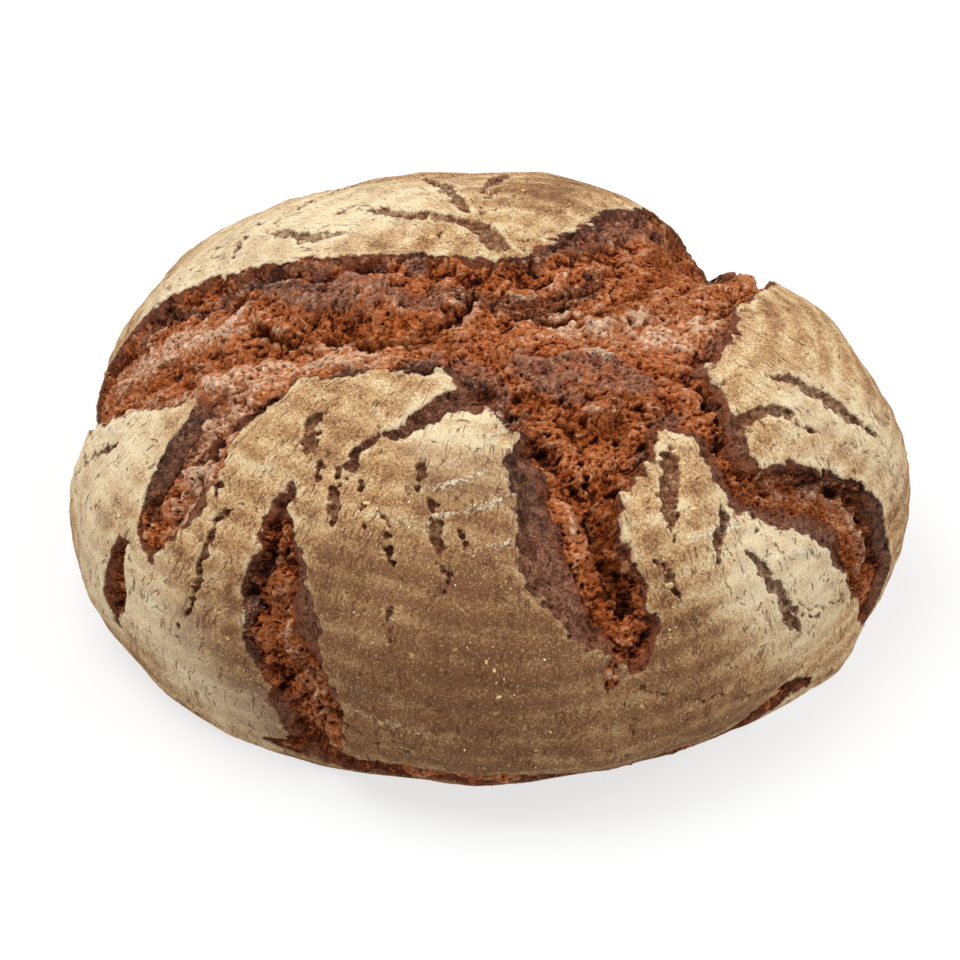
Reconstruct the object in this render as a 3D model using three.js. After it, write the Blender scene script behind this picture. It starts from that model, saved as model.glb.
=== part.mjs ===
// A round loaf of rye bread, proved in a coiled basket, floured, and torn wide open as it baked.
// Units are millimetres, +Z is up, and the origin is at the middle of the box of the base.
//
// A place on the crust is a bearing and a run. The bearing turns round the crown, 0 towards +X and 270
// towards the front, -Y. The run is the way down the crust in hundredths, 0 at the crown, 100 at the foot.

import * as THREE from 'three';

// ---- driving dimensions -------------------------------------------------------------------------

const crownHeight = 117;
const waistRadius = 140;
const waistHeight = 28; // where the loaf is widest
const waistRun = 80;
const footShare = 0.9; // radius of the foot, as a share of the waist's
const crownPower = 2.12; // superellipse power above the waist, 2 would be round and more is fuller
const footPower = 1.6; // and below it
const crownLean = { x: 11.5, y: -1.2 };

// A loaf that rose free is never round: each lobe is an order, a share of the radius and a bearing.
const waistLobes = [
  [1, 0.017, -105],
  [2, 0.045, -44],
  [3, 0.013, -1],
  [4, 0.007, 6],
  [5, 0.023, -8],
];
const footLobes = [
  [1, 0.051, -11],
  [2, 0.019, -9],
  [3, 0.027, -12],
  [4, 0.016, -30],
  [5, 0.005, -3],
];

// The tears part the crust into plates. Each follows a course of [bearing, run, half width in mm], is
// `depth` deep, and falls to that depth within `wall` of its edge.
const tears = [
  {
    name: 'valley, left arm', depth: 6, wall: 5,
    course: [[176, 64, 16], [177, 55, 26], [178, 48, 31], [183, 39, 33], [191, 28, 33], [203, 17, 31], [233, 11, 30]],
  },
  {
    name: 'valley, over the crown', depth: 6, wall: 5,
    course: [[233, 11, 30], [270, 9, 30], [320, 10, 31], [358, 16, 30], [16, 24, 28], [27, 33, 26], [32, 42, 23],
      [33, 52, 17], [34, 61, 11], [36, 69, 4]],
  },
  {
    name: 'valley, right shoulder', depth: 6, wall: 5,
    course: [[270, 12, 28], [310, 14, 32], [332, 17, 31], [346, 21, 27]],
  },
  { name: 'mouth of the right tear', depth: 6, wall: 4, course: [[305, 18, 28], [313, 26, 19], [316, 33, 11]] },
  {
    name: 'front fissure', depth: 6, wall: 4,
    course: [[285, 18, 27], [290, 27, 24], [287, 31, 21], [284, 34, 19], [282, 40, 16], [282.5, 46, 16.5],
      [284, 50, 17], [286, 53.5, 15.5], [288, 57, 12], [289.5, 60.5, 8.5], [290, 64, 4.5], [289, 66.5, 1.5]],
  },
  { name: 'front pocket', depth: 3, wall: 2, course: [[286.5, 64.5, 2], [286.5, 67, 2.8], [286, 70, 1.5]] },
  {
    name: 'left tear', depth: 5, wall: 4,
    course: [[207, 32, 14], [209, 38, 13], [211, 43.5, 11.5], [213, 48, 12.5], [215, 53, 13], [216, 57.5, 10],
      [216.5, 60.5, 7], [217.5, 64, 3]],
  },
  {
    name: 'low left tear', depth: 5, wall: 3,
    course: [[211.5, 67, 3], [211.5, 71, 5.5], [212, 76, 6], [212, 82, 3]],
  },
  {
    name: 'front left tear', depth: 6, wall: 4,
    course: [[233, 44, 1.5], [233, 47, 3.5], [234, 50, 4.5], [237, 54, 7.5], [238, 58, 10], [239.5, 62.5, 12.5],
      [242, 68, 14.5], [244, 72, 12.5], [246, 76, 12], [247.5, 80, 13], [248, 85, 11]],
  },
  {
    name: 'right tear', depth: 6, wall: 4,
    course: [[315, 33, 8], [316, 37, 8.5], [314.5, 44, 9], [317, 49, 9], [323, 52, 11], [326, 55.5, 12],
      [329, 60, 14], [332, 67, 15.5], [334.5, 76, 14], [337, 83, 12], [338, 90, 7]],
  },
  {
    name: 'back right tear', depth: 6, wall: 4,
    course: [[66, 46, 3], [64, 52, 7], [67, 59, 10], [71, 67, 12], [73, 76, 11], [74, 85, 8]],
  },
  {
    name: 'back left tear', depth: 5, wall: 4,
    course: [[121, 40, 2], [124, 46, 5], [126, 53, 9], [124, 61, 10], [121, 69, 8], [120, 77, 4]],
  },
  { name: 'far left tear', depth: 5, wall: 3, course: [[150, 62, 3], [152, 69, 7], [155, 77, 8], [156, 86, 5]] },
  { name: 'far right tear', depth: 5, wall: 3, course: [[8, 58, 3], [6, 65, 7], [3, 73, 8], [1, 81, 5]] },
  {
    name: 'band behind the middle plate', depth: 1.6, wall: 2,
    course: [[265.5, 23, 5.3], [259, 24.5, 4.3], [254, 26.5, 4], [248, 30.8, 2.6], [242, 34.7, 2], [241, 40, 1.2]],
  },
  { name: 'undercut front left foot', depth: 7, wall: 4, course: [[234, 93, 3], [245, 91, 7], [256, 92, 5], [262, 95, 2]] },
  { name: 'undercut right foot', depth: 7, wall: 4, course: [[305, 95, 3], [311, 92, 7], [317, 90, 6], [322, 92, 2]] },
  { name: 'lifted rim of the base', depth: 3, wall: 2, course: [[262, 90, 3], [275, 89, 4], [290, 89, 4], [304, 92, 2]] },
];

// Along these lines the crumb has pulled deepest, below the floor of the tears.
const troughs = [
  {
    name: 'under the lip of the top plate', depth: 6, wall: 6,
    course: [[173, 64, 4], [176, 52, 6], [181, 44, 6], [188, 36, 7], [195, 27, 7], [207, 19, 7], [230, 12, 7],
      [270, 8, 8], [320, 8, 8], [0, 13, 7], [20, 20, 7], [32, 30, 7], [38, 40, 6], [40, 52, 4]],
  },
  { name: 'crevice of the front fissure', depth: 5, wall: 3, course: [[276, 28, 1], [281, 35, 2.5], [284, 44, 2.5], [288, 56, 2]] },
  { name: 'floor of the left tear', depth: 3, wall: 3, course: [[211, 41, 2], [215, 47, 3], [217, 58, 2]] },
  { name: 'floor of the front left tear', depth: 4, wall: 3, course: [[236, 56, 3], [239, 65, 5], [244, 75, 5], [249, 83, 4]] },
  { name: 'floor of the right tear', depth: 5, wall: 4, course: [[314, 46, 3], [325, 53, 4], [331, 63, 4], [333, 77, 5]] },
  { name: 'floor of the back right tear', depth: 3, wall: 3, course: [[65, 55, 2], [71, 68, 4], [74, 80, 3]] },
];

// And here dough stands up inside them.
const ridges = [
  { name: 'floured mound on the crown', depth: 5, wall: 12, course: [[283, 15, 8], [292, 19, 9], [300, 25, 6]] },
  { name: 'ledge below the top plate', depth: 3.5, wall: 4, course: [[170, 40, 3], [174, 32, 6], [180, 24, 7], [190, 15, 5]] },
  { name: 'lip behind the left plates', depth: 3, wall: 4, course: [[216, 30, 2], [228, 24, 4], [243, 18, 5], [262, 19, 4]] },
];

const plateDip = { depth: 1.6, reach: 16 }; // plates crown up between tears, and dip to their edges
const swell = { height: 1.2, wave: 46 }; // slow unevenness of the whole crust
const crags = { height: 1.8, wave: 15 }; // lumps of torn crumb
const footFade = 10; // run over which relief stops moving the foot up or down

// Longest edge that the surface keeps at a tear's edge, in its floor, on the plates and on the base.
const grain = { edge: 4, floor: 6.5, plate: 13, nearEdge: 4 };
const snapReach = 1.7; // corners this near a tear's edge, or the foot of its wall, move onto it

// ---- the crust as a surface ---------------------------------------------------------------------

const radians = THREE.MathUtils.degToRad;
const smooth = (low, high, value) => THREE.MathUtils.smoothstep(value, low, high);

const lobed = (lobes, bearing) =>
  lobes.reduce((sum, [order, share, towards]) => sum + share * Math.cos(order * radians(bearing - towards)), 1);

// The bare dome: a superellipse from the crown out to the waist, and a second one back in to the foot.
function domePoint(bearing, run) {
  const waist = waistRadius * lobed(waistLobes, bearing);
  const foot = waistRadius * footShare * lobed(footLobes, bearing);
  let reach;
  let height;
  if (run < waistRun) {
    const turn = (run / waistRun) * (Math.PI / 2);
    reach = waist * Math.sin(turn) ** (2 / crownPower);
    height = waistHeight + (crownHeight - waistHeight) * Math.cos(turn) ** (2 / crownPower);
  } else {
    const turn = Math.min((run - waistRun) / (100 - waistRun), 1) * (Math.PI / 2);
    reach = foot + (waist - foot) * Math.max(Math.cos(turn), 0) ** (2 / footPower);
    height = waistHeight * (1 - Math.sin(turn) ** (2 / footPower));
  }
  const lean = (height / crownHeight) ** 2;
  const angle = radians(bearing);
  return new THREE.Vector3(
    reach * Math.cos(angle) + crownLean.x * lean,
    reach * Math.sin(angle) + crownLean.y * lean,
    height,
  );
}

// The same dome laid out flat, as a disk with the crown in its middle and the foot as its rim.
function onDisk(u, v) {
  return domePoint(THREE.MathUtils.radToDeg(Math.atan2(v, u)), Math.min(Math.hypot(u, v), 1) * 100);
}

function domeNormal(u, v) {
  const step = 0.004;
  const inward = Math.min(1, (1 - 2 * step) / Math.max(Math.hypot(u, v), 1e-9));
  const [a, b] = [u * inward, v * inward];
  const alongU = onDisk(a + step, b).sub(onDisk(a - step, b));
  const alongV = onDisk(a, b + step).sub(onDisk(a, b - step));
  return alongU.cross(alongV).normalize();
}

// ---- tears --------------------------------------------------------------------------------------

const stepsPerSpan = 5;

// A course becomes a chain of points on the dome, each with its half width.
function layOut(stroke) {
  const stops = stroke.course.map(([bearing, run, half]) => new THREE.Vector3(
    (run / 100) * Math.cos(radians(bearing)),
    (run / 100) * Math.sin(radians(bearing)),
    half,
  ));
  const line = new THREE.CatmullRomCurve3(stops, false, 'catmullrom', 0.5);
  const count = (stops.length - 1) * stepsPerSpan;
  const chain = Array.from({ length: count + 1 }, (_, i) => {
    const stop = line.getPoint(i / count);
    return { at: onDisk(stop.x, stop.y), half: Math.max(stop.z, 0.2) };
  });
  const box = new THREE.Box3().setFromPoints(chain.map((link) => link.at));
  return { ...stroke, chain, box };
}

// Distance from a point to the edge of a stroke: below zero inside it.
function edgeDistance(point, { chain, box }, reach) {
  if (box.distanceToPoint(point) > reach + 40) return Infinity;
  let nearest = Infinity;
  const span = new THREE.Vector3();
  const offset = new THREE.Vector3();
  for (let i = 0; i + 1 < chain.length; i += 1) {
    span.subVectors(chain[i + 1].at, chain[i].at);
    offset.subVectors(point, chain[i].at);
    const along = THREE.MathUtils.clamp(offset.dot(span) / span.lengthSq(), 0, 1);
    const half = THREE.MathUtils.lerp(chain[i].half, chain[i + 1].half, along);
    nearest = Math.min(nearest, offset.addScaledVector(span, -along).length() - half);
  }
  return nearest;
}

const laidTears = tears.map(layOut);
const laidTroughs = troughs.map(layOut);
const laidRidges = ridges.map(layOut);

// ---- relief -------------------------------------------------------------------------------------

// Repeatable lumps between -1 and 1, from a few crossed waves.
const waveSet = [
  { way: new THREE.Vector3(0.83, 0.31, 0.46), phase: 0.4 },
  { way: new THREE.Vector3(-0.37, 0.88, 0.29), phase: 2.1 },
  { way: new THREE.Vector3(0.24, -0.52, 0.82), phase: 4.3 },
  { way: new THREE.Vector3(-0.71, -0.43, 0.56), phase: 1.2 },
];

function lumps(point, wave) {
  const turns = (2 * Math.PI) / wave;
  return waveSet.reduce((sum, { way, phase }, i) => {
    const swirl = Math.sin(point.dot(waveSet[(i + 1) % 4].way) * turns * 0.61 + phase);
    return sum + Math.sin(point.dot(way) * turns + phase + swirl);
  }, 0) / waveSet.length;
}

function tearAt(point) {
  let edge = Infinity;
  let wall = 0;
  let sunk = 0;
  for (const tear of laidTears) {
    const distance = edgeDistance(point, tear, plateDip.reach);
    if (distance < edge) [edge, wall] = [distance, tear.wall];
    sunk = Math.max(sunk, tear.depth * smooth(0, tear.wall, -distance));
  }
  return { edge, wall, sunk };
}

// How far the crust moves out at a point, and how far that point is from the nearest tear's edge.
function reliefAt(point) {
  const { edge, sunk: floor } = tearAt(point);
  let sunk = floor;
  const inside = smooth(0, 4, -edge);
  for (const trough of laidTroughs) {
    sunk += inside * trough.depth * smooth(-trough.wall, trough.wall / 2, -edgeDistance(point, trough, trough.wall));
  }
  for (const ridge of laidRidges) {
    sunk -= inside * ridge.depth * smooth(-ridge.wall, ridge.wall / 2, -edgeDistance(point, ridge, ridge.wall));
  }
  const dip = plateDip.depth * (1 - smooth(0, plateDip.reach, Math.max(edge, 0)));
  const rough = crags.height * inside * lumps(point, crags.wave);
  return { edge, out: swell.height * lumps(point, swell.wave) - dip - sunk + rough };
}

function crustVertex(u, v) {
  const base = onDisk(u, v);
  const normal = domeNormal(u, v);
  const { edge, out } = reliefAt(base);
  const level = smooth(0, footFade, (1 - Math.hypot(u, v)) * 100);
  const at = base.clone().add(new THREE.Vector3(normal.x * out, normal.y * out, normal.z * out * level));
  at.z = Math.max(at.z, 0);
  const longest = edge > 0
    ? THREE.MathUtils.lerp(grain.edge, grain.plate, smooth(grain.nearEdge, 22, edge))
    : THREE.MathUtils.lerp(grain.edge, grain.floor, smooth(grain.nearEdge, 9, -edge));
  return { u, v, base, at, longest };
}

// ---- mesh ---------------------------------------------------------------------------------------

const startRings = 7; // ring k has 6k corners

function startDisk() {
  const corners = [crustVertex(0, 0)];
  const faces = [];
  const first = (ring) => (ring === 0 ? 0 : 1 + 3 * ring * (ring - 1));
  const corner = (ring, i) => (ring === 0 ? 0 : first(ring) + (i % (6 * ring)));
  for (let ring = 1; ring <= startRings; ring += 1) {
    for (let i = 0; i < 6 * ring; i += 1) {
      const angle = (2 * Math.PI * i) / (6 * ring);
      const run = ring / startRings;
      corners.push(crustVertex(run * Math.cos(angle), run * Math.sin(angle)));
    }
    for (let side = 0; side < 6; side += 1) {
      for (let i = 0; i < ring; i += 1) {
        const outer = side * ring + i;
        const inner = side * (ring - 1) + i;
        faces.push([corner(ring, outer), corner(ring, outer + 1), corner(ring - 1, inner)]);
        if (i < ring - 1) faces.push([corner(ring - 1, inner), corner(ring, outer + 1), corner(ring - 1, inner + 1)]);
      }
    }
  }
  return { corners, faces };
}

// Edges longer than the crust allows there are halved, and with them the longest edge of each face that
// is touched, until none is left. The rim of the disk stays on the foot.
function refine({ corners, faces }) {
  const key = (a, b) => (a < b ? a * 1e6 + b : b * 1e6 + a);
  const length = (a, b) => corners[a].base.distanceTo(corners[b].base);
  const tooLong = (a, b) => length(a, b) > Math.min(corners[a].longest, corners[b].longest) * 1.4;
  const edgesOf = ([a, b, c]) => [[a, b], [b, c], [c, a]];
  for (;;) {
    const marked = new Set();
    for (const face of faces) {
      for (const [a, b] of edgesOf(face)) if (tooLong(a, b)) marked.add(key(a, b));
    }
    if (marked.size === 0) return { corners, faces };
    for (let growing = true; growing;) {
      growing = false;
      for (const face of faces) {
        const edges = edgesOf(face);
        if (!edges.some(([a, b]) => marked.has(key(a, b)))) continue;
        const [a, b] = edges.reduce((best, edge) => (length(...edge) > length(...best) ? edge : best));
        if (!marked.has(key(a, b))) {
          marked.add(key(a, b));
          growing = true;
        }
      }
    }
    const middles = new Map();
    const middle = (a, b) => {
      if (!middles.has(key(a, b))) {
        let u = (corners[a].u + corners[b].u) / 2;
        let v = (corners[a].v + corners[b].v) / 2;
        const onFoot = [a, b].every((i) => Math.hypot(corners[i].u, corners[i].v) > 1 - 1e-6);
        if (onFoot) [u, v] = [u / Math.hypot(u, v), v / Math.hypot(u, v)];
        middles.set(key(a, b), corners.push(crustVertex(u, v)) - 1);
      }
      return middles.get(key(a, b));
    };
    const split = [];
    for (const face of faces) {
      const edges = edgesOf(face);
      const halves = edges.map(([a, b]) => (marked.has(key(a, b)) ? middle(a, b) : -1));
      const count = halves.filter((m) => m >= 0).length;
      if (count === 0) {
        split.push(face);
      } else if (count === 3) {
        const [ab, bc, ca] = halves;
        split.push([face[0], ab, ca], [face[1], bc, ab], [face[2], ca, bc], [ab, bc, ca]);
      } else {
        // turn the face so that its longest edge, which is always marked, comes first
        const start = edges.reduce((best, edge, i) => (length(...edge) > length(...edges[best]) ? i : best), 0);
        const [a, b, c] = [0, 1, 2].map((i) => face[(start + i) % 3]);
        const [ab, bc, ca] = [0, 1, 2].map((i) => halves[(start + i) % 3]);
        if (bc >= 0) split.push([a, ab, c], [ab, b, bc], [ab, bc, c]);
        else if (ca >= 0) split.push([ab, b, c], [a, ab, ca], [ca, ab, c]);
        else split.push([a, ab, c], [ab, b, c]);
      }
    }
    faces = split;
  }
}

// Corners beside a tear's edge or the foot of its wall move onto that line, so that walls run clean. A move
// that would fold or flatten a face isn't made.
function snap({ corners, faces }) {
  const step = 0.002;
  const facesAt = corners.map(() => []);
  for (const face of faces) for (const i of face) facesAt[i].push(face);
  const spread = ([a, b, c]) => (corners[b].u - corners[a].u) * (corners[c].v - corners[a].v)
    - (corners[c].u - corners[a].u) * (corners[b].v - corners[a].v);
  corners.forEach((corner, i) => {
    const { u, v, base } = corner;
    if (Math.hypot(u, v) > 0.99) return;
    const { edge, wall } = tearAt(base);
    const miss = [edge, edge + wall].find((distance) => Math.abs(distance) < snapReach);
    if (miss === undefined) return;
    const slope = [[step, 0], [0, step]].map(([du, dv]) => (
      tearAt(onDisk(u + du, v + dv)).edge - tearAt(onDisk(u - du, v - dv)).edge) / (2 * step));
    const steepness = slope[0] ** 2 + slope[1] ** 2;
    const before = facesAt[i].map(spread);
    corners[i] = crustVertex(u - (miss * slope[0]) / steepness, v - (miss * slope[1]) / steepness);
    if (facesAt[i].some((face, n) => spread(face) < before[n] * 0.35)) corners[i] = corner;
  });
  return { corners, faces };
}

// The base is flat: a fan from its middle to the rim of the disk.
function closeBase({ corners, faces }) {
  const rim = corners
    .map(({ u, v }, index) => ({ index, run: Math.hypot(u, v), angle: Math.atan2(v, u) }))
    .filter(({ run }) => run > 1 - 1e-6)
    .sort((a, b) => a.angle - b.angle);
  const centre = rim.reduce((sum, { index }) => sum.add(corners[index].at), new THREE.Vector3());
  const hub = corners.push({ at: centre.divideScalar(rim.length).setZ(0) }) - 1;
  rim.forEach(({ index }, i) => faces.push([index, hub, rim[(i + 1) % rim.length].index]));
  return { corners, faces };
}

function loafGeometry() {
  const { corners, faces } = closeBase(snap(refine(startDisk())));
  const box = new THREE.Box3().setFromPoints(corners.map(({ at }) => at));
  const middle = box.getCenter(new THREE.Vector3());
  const geometry = new THREE.BufferGeometry();
  const places = corners.flatMap(({ at }) => [at.x - middle.x, at.y - middle.y, at.z - box.min.z]);
  geometry.setAttribute('position', new THREE.Float32BufferAttribute(places, 3));
  geometry.setIndex(faces.flat());
  geometry.computeVertexNormals();
  return geometry;
}

// ---- the part -----------------------------------------------------------------------------------

const crust = new THREE.MeshStandardMaterial({ color: '#b18f68', roughness: 0.9, metalness: 0 });

const loaf = new THREE.Mesh(loafGeometry(), crust);
loaf.name = 'loaf';

const part = new THREE.Group();
part.add(loaf);

export default part;
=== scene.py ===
import math

import bpy
import numpy as np
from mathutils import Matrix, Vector


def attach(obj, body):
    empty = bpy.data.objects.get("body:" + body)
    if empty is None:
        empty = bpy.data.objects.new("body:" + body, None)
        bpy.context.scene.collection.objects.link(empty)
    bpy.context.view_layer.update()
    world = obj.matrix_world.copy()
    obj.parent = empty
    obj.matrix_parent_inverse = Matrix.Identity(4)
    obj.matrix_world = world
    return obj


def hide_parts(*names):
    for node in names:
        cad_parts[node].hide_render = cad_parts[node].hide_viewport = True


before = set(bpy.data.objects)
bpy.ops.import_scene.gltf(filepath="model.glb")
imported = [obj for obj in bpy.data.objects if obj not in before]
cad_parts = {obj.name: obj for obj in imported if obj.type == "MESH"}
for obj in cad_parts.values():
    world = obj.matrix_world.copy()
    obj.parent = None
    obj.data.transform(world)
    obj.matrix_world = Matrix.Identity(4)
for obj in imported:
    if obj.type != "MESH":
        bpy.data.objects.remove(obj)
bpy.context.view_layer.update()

# A round loaf of rye bread, floured in a coiled basket and torn open as it baked.
# Lengths are millimetres until a mesh is written, which is in metres.
# A place on the crust is a bearing round the crown (0 towards +X, 270 towards the front, -Y)
# and a run down the crust, 0 at the crown and 100 at the foot.

metre = 0.001

# the dome, with the same sizes as the solid loaf
dome = {
    "crownHeight": 117.0,
    "waistRadius": 140.0,
    "waistHeight": 28.0,
    "waistRun": 80.0,
    "footShare": 0.9,  # radius of the foot over the waist's
    "crownPower": 2.12,  # superellipse power above the waist
    "footPower": 1.6,  # and below it
    "crownLean": (11.5, -1.2),
    # order, share of the radius, bearing of the bulge
    "waistLobes": [(1, 0.017, -105), (2, 0.045, -44), (3, 0.013, -1), (4, 0.007, 6), (5, 0.023, -8)],
    "footLobes": [(1, 0.051, -11), (2, 0.019, -9), (3, 0.027, -12), (4, 0.016, -30), (5, 0.005, -3)],
    "fullRings": 384,
    "rings": 384,  # ring k of the fine mesh has 6k corners
    "baseRings": 40,
}


def smooth(low, high, value):
    t = np.clip((value - low) / (high - low), 0.0, 1.0)
    return t * t * (3.0 - 2.0 * t)


def lobed(lobes, angle):
    radius = np.ones_like(angle)
    for order, share, towards in lobes:
        radius = radius + share * np.cos(order * (angle - math.radians(towards)))
    return radius


# the dome laid out flat: a disk with the crown in its middle and the foot as its rim
def onDisk(uv):
    angle = np.arctan2(uv[:, 1], uv[:, 0])
    run = np.minimum(np.hypot(uv[:, 0], uv[:, 1]), 1.0) * 100.0
    waist = dome["waistRadius"] * lobed(dome["waistLobes"], angle)
    foot = dome["waistRadius"] * dome["footShare"] * lobed(dome["footLobes"], angle)
    turn = np.clip(run / dome["waistRun"], 0.0, 1.0) * math.pi / 2
    under = np.clip((run - dome["waistRun"]) / (100.0 - dome["waistRun"]), 0.0, 1.0) * math.pi / 2
    cosTurn = np.maximum(np.cos(turn), 0.0)
    cosUnder = np.maximum(np.cos(under), 0.0)
    crown = 2.0 / dome["crownPower"]
    heel = 2.0 / dome["footPower"]
    low = dome["waistHeight"]
    rise = dome["crownHeight"] - low
    above = run < dome["waistRun"]
    reach = np.where(above, waist * np.sin(turn) ** crown, foot + (waist - foot) * cosUnder ** heel)
    height = np.where(above, low + rise * cosTurn ** crown, low * (1.0 - np.sin(under) ** heel))
    lean = (height / dome["crownHeight"]) ** 2
    x = reach * np.cos(angle) + dome["crownLean"][0] * lean
    y = reach * np.sin(angle) + dome["crownLean"][1] * lean
    return np.stack([x, y, height], axis=1)


def diskNormals(uv):
    step = 0.004
    reach = np.hypot(uv[:, 0], uv[:, 1])
    inner = uv * np.minimum(1.0, (1.0 - 2.0 * step) / np.maximum(reach, 1e-9))[:, None]
    alongU = onDisk(inner + (step, 0.0)) - onDisk(inner - (step, 0.0))
    alongV = onDisk(inner + (0.0, step)) - onDisk(inner - (0.0, step))
    normals = np.cross(alongU, alongV)
    return normals / np.linalg.norm(normals, axis=1, keepdims=True)


# tears are the solid loaf's own courses, as (bearing, run, half width)
# "crumb" is where torn crumb shows: a margin inside the tear's edge, or a course of its own
tears = {
    "valley, left arm": {"depth": 6, "wall": 5, "crumb": 1.2,
     "course": [(168, 84, 7), (170, 77, 15), (172, 69, 22), (175, 60, 25), (177, 53, 28), (179, 47, 31),
                (183, 39, 33), (191, 28, 33), (203, 17, 31), (233, 11, 30)]},
    "valley, over the crown": {"depth": 6, "wall": 5, "crumb": 1.2,
     "course": [(233, 11, 30), (270, 9, 30), (320, 10, 31), (358, 16, 30), (16, 24, 28), (27, 33, 26),
                (32, 42, 23), (33, 52, 17), (34, 61, 11), (36, 69, 4)]},
    "valley, right shoulder": {"depth": 6, "wall": 5, "crumb": 1.2,
     "course": [(270, 12, 28), (310, 14, 32), (330, 16, 31), (340, 18, 25), (346, 20, 20)]},
    "mouth of the right tear": {"depth": 6, "wall": 4, "crumb": 2.5,
     "course": [(305, 18, 28), (313, 26, 19), (316, 33, 11)]},
    "front fissure": {"depth": 6, "wall": 4,
     "crumb": [(285, 18, 27), (290, 26, 24), (288, 31, 18), (286, 37, 13), (285.6, 42, 12),
               (286.6, 47, 11.5), (287.6, 52, 10.5), (288.8, 57, 8.5), (290, 62, 6.5), (290, 65, 3.5)],
     "course": [(285, 18, 27), (290, 27, 24), (287, 31, 21), (284, 34, 19), (282, 40, 16), (282.5, 46, 16.5),
                (284, 50, 17), (286, 53.5, 15.5), (288, 57, 12), (289.5, 60.5, 8.5), (290, 64, 4.5),
                (289, 66.5, 1.5)]},
    "front pocket": {"depth": 2, "wall": 2, "crumb": 0.2,
     "course": [(287.4, 64.4, 2.2), (286.7, 67, 2.8), (286, 69.8, 1.6)]},
    "left tear": {"depth": 5, "wall": 4,
     "crumb": [(206, 32, 13), (210, 38, 11), (212, 42, 9), (214.5, 48, 8.5), (215.5, 54, 8.5),
               (216, 59, 7.5), (217, 65, 4)],
     "course": [(207, 32, 14), (209, 38, 13), (211, 43.5, 11.5), (213, 48, 12.5), (215, 53, 13),
                (216, 57.5, 10), (216.5, 60.5, 7), (217.5, 64, 3)]},
    "low left tear": {"depth": 5, "wall": 3, "crumb": 1.8,
     "course": [(211.5, 67, 3), (211.5, 71, 5.5), (212, 76, 6), (212, 82, 3)]},
    "front left tear": {"depth": 6, "wall": 4,
     "crumb": [(234, 47, 2.5), (236, 54, 5.5), (237.5, 59, 7.5), (238, 64, 9), (239.5, 69, 9),
               (243.5, 74, 9), (247, 78, 10), (249, 82, 11), (249, 87, 10)],
     "course": [(233, 44, 1.5), (233, 47, 3.5), (234, 50, 4.5), (237, 54, 7.5), (238, 58, 10),
                (239.5, 62.5, 12.5), (242, 68, 14.5), (244, 72, 12.5), (246, 76, 12), (247.5, 80, 13),
                (248, 85, 11)]},
    "right tear": {"depth": 6, "wall": 4,
     "crumb": [(316.5, 33, 3), (315.5, 42, 3.5), (316, 47, 5), (320.5, 49.5, 6.5), (326, 53, 8),
               (330.5, 58.5, 9.5), (332.5, 66, 10.5), (334, 75, 10), (336, 83, 9), (337, 90, 6)],
     "course": [(315, 33, 8), (316, 37, 8.5), (314.5, 44, 9), (317, 49, 9), (323, 52, 11), (326, 55.5, 12),
                (329, 60, 14), (332, 67, 15.5), (334.5, 76, 14), (337, 83, 12), (338, 90, 7)]},
    "back right tear": {"depth": 6, "wall": 4,
     "crumb": [(66, 50, 1), (65, 55, 4), (69, 63, 7), (72, 70, 8), (74, 78, 7), (75, 84, 5)],
     "course": [(66, 46, 3), (64, 52, 7), (67, 59, 10), (71, 67, 12), (73, 76, 11), (74, 85, 8)]},
    "back left tear": {"depth": 5, "wall": 4,
     "crumb": [(124, 47, 2), (126, 54, 5), (124, 62, 6), (121, 70, 4)],
     "course": [(121, 40, 2), (124, 46, 5), (126, 53, 9), (124, 61, 10), (121, 69, 8), (120, 77, 4)]},
    "far left tear": {"depth": 5, "wall": 3, "crumb": 2.5,
     "course": [(150, 62, 3), (152, 69, 7), (155, 77, 8), (156, 86, 5)]},
    "far right tear": {"depth": 5, "wall": 3, "crumb": 2.5,
     "course": [(8, 58, 3), (6, 65, 7), (3, 73, 8), (1, 81, 5)]},
    "band behind the middle plate": {"depth": 1.6, "wall": 2,
     "course": [(265.5, 23, 5.3), (259, 24.5, 4.3), (254, 26.5, 4), (248, 30.8, 2.6), (242, 34.7, 2),
                (241, 40, 1.2)]},
    "undercut front left foot": {"depth": 7, "wall": 4, "crumb": 1,
     "course": [(240, 92, 2), (246, 90, 5), (256, 92, 5), (262, 95, 2)]},
    "undercut right foot": {"depth": 7, "wall": 4, "crumb": 1.5,
     "course": [(305, 95, 3), (311, 92, 7), (317, 90, 6), (322, 92, 2)]},
    "lifted rim of the base": {"depth": 3, "wall": 2, "crumb": 0.8,
     "course": [(252, 90, 5), (262, 90, 6.5), (276, 90, 7), (290, 93, 6), (302, 93.5, 4)]},
    "bite behind the crown": {"depth": 6, "wall": 8, "crumb": 1.5,
     "course": [(38, 5, 3), (40, 10, 3.5), (42, 15, 5), (45, 23, 7.5), (46, 31, 8), (47, 39, 10),
                (47, 48, 14), (46, 57, 13), (44, 66, 8)]},
}

# skin that stands up between a plate and the crumb
lips = [
    [(213, 48, 0.8), (211.5, 43, 1.5), (212.5, 40, 2), (213.5, 36.5, 2.2), (214.5, 33, 2.2), (216, 30, 2.4),
     (218.5, 28, 2.2), (223, 28, 1.2)],
]

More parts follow.
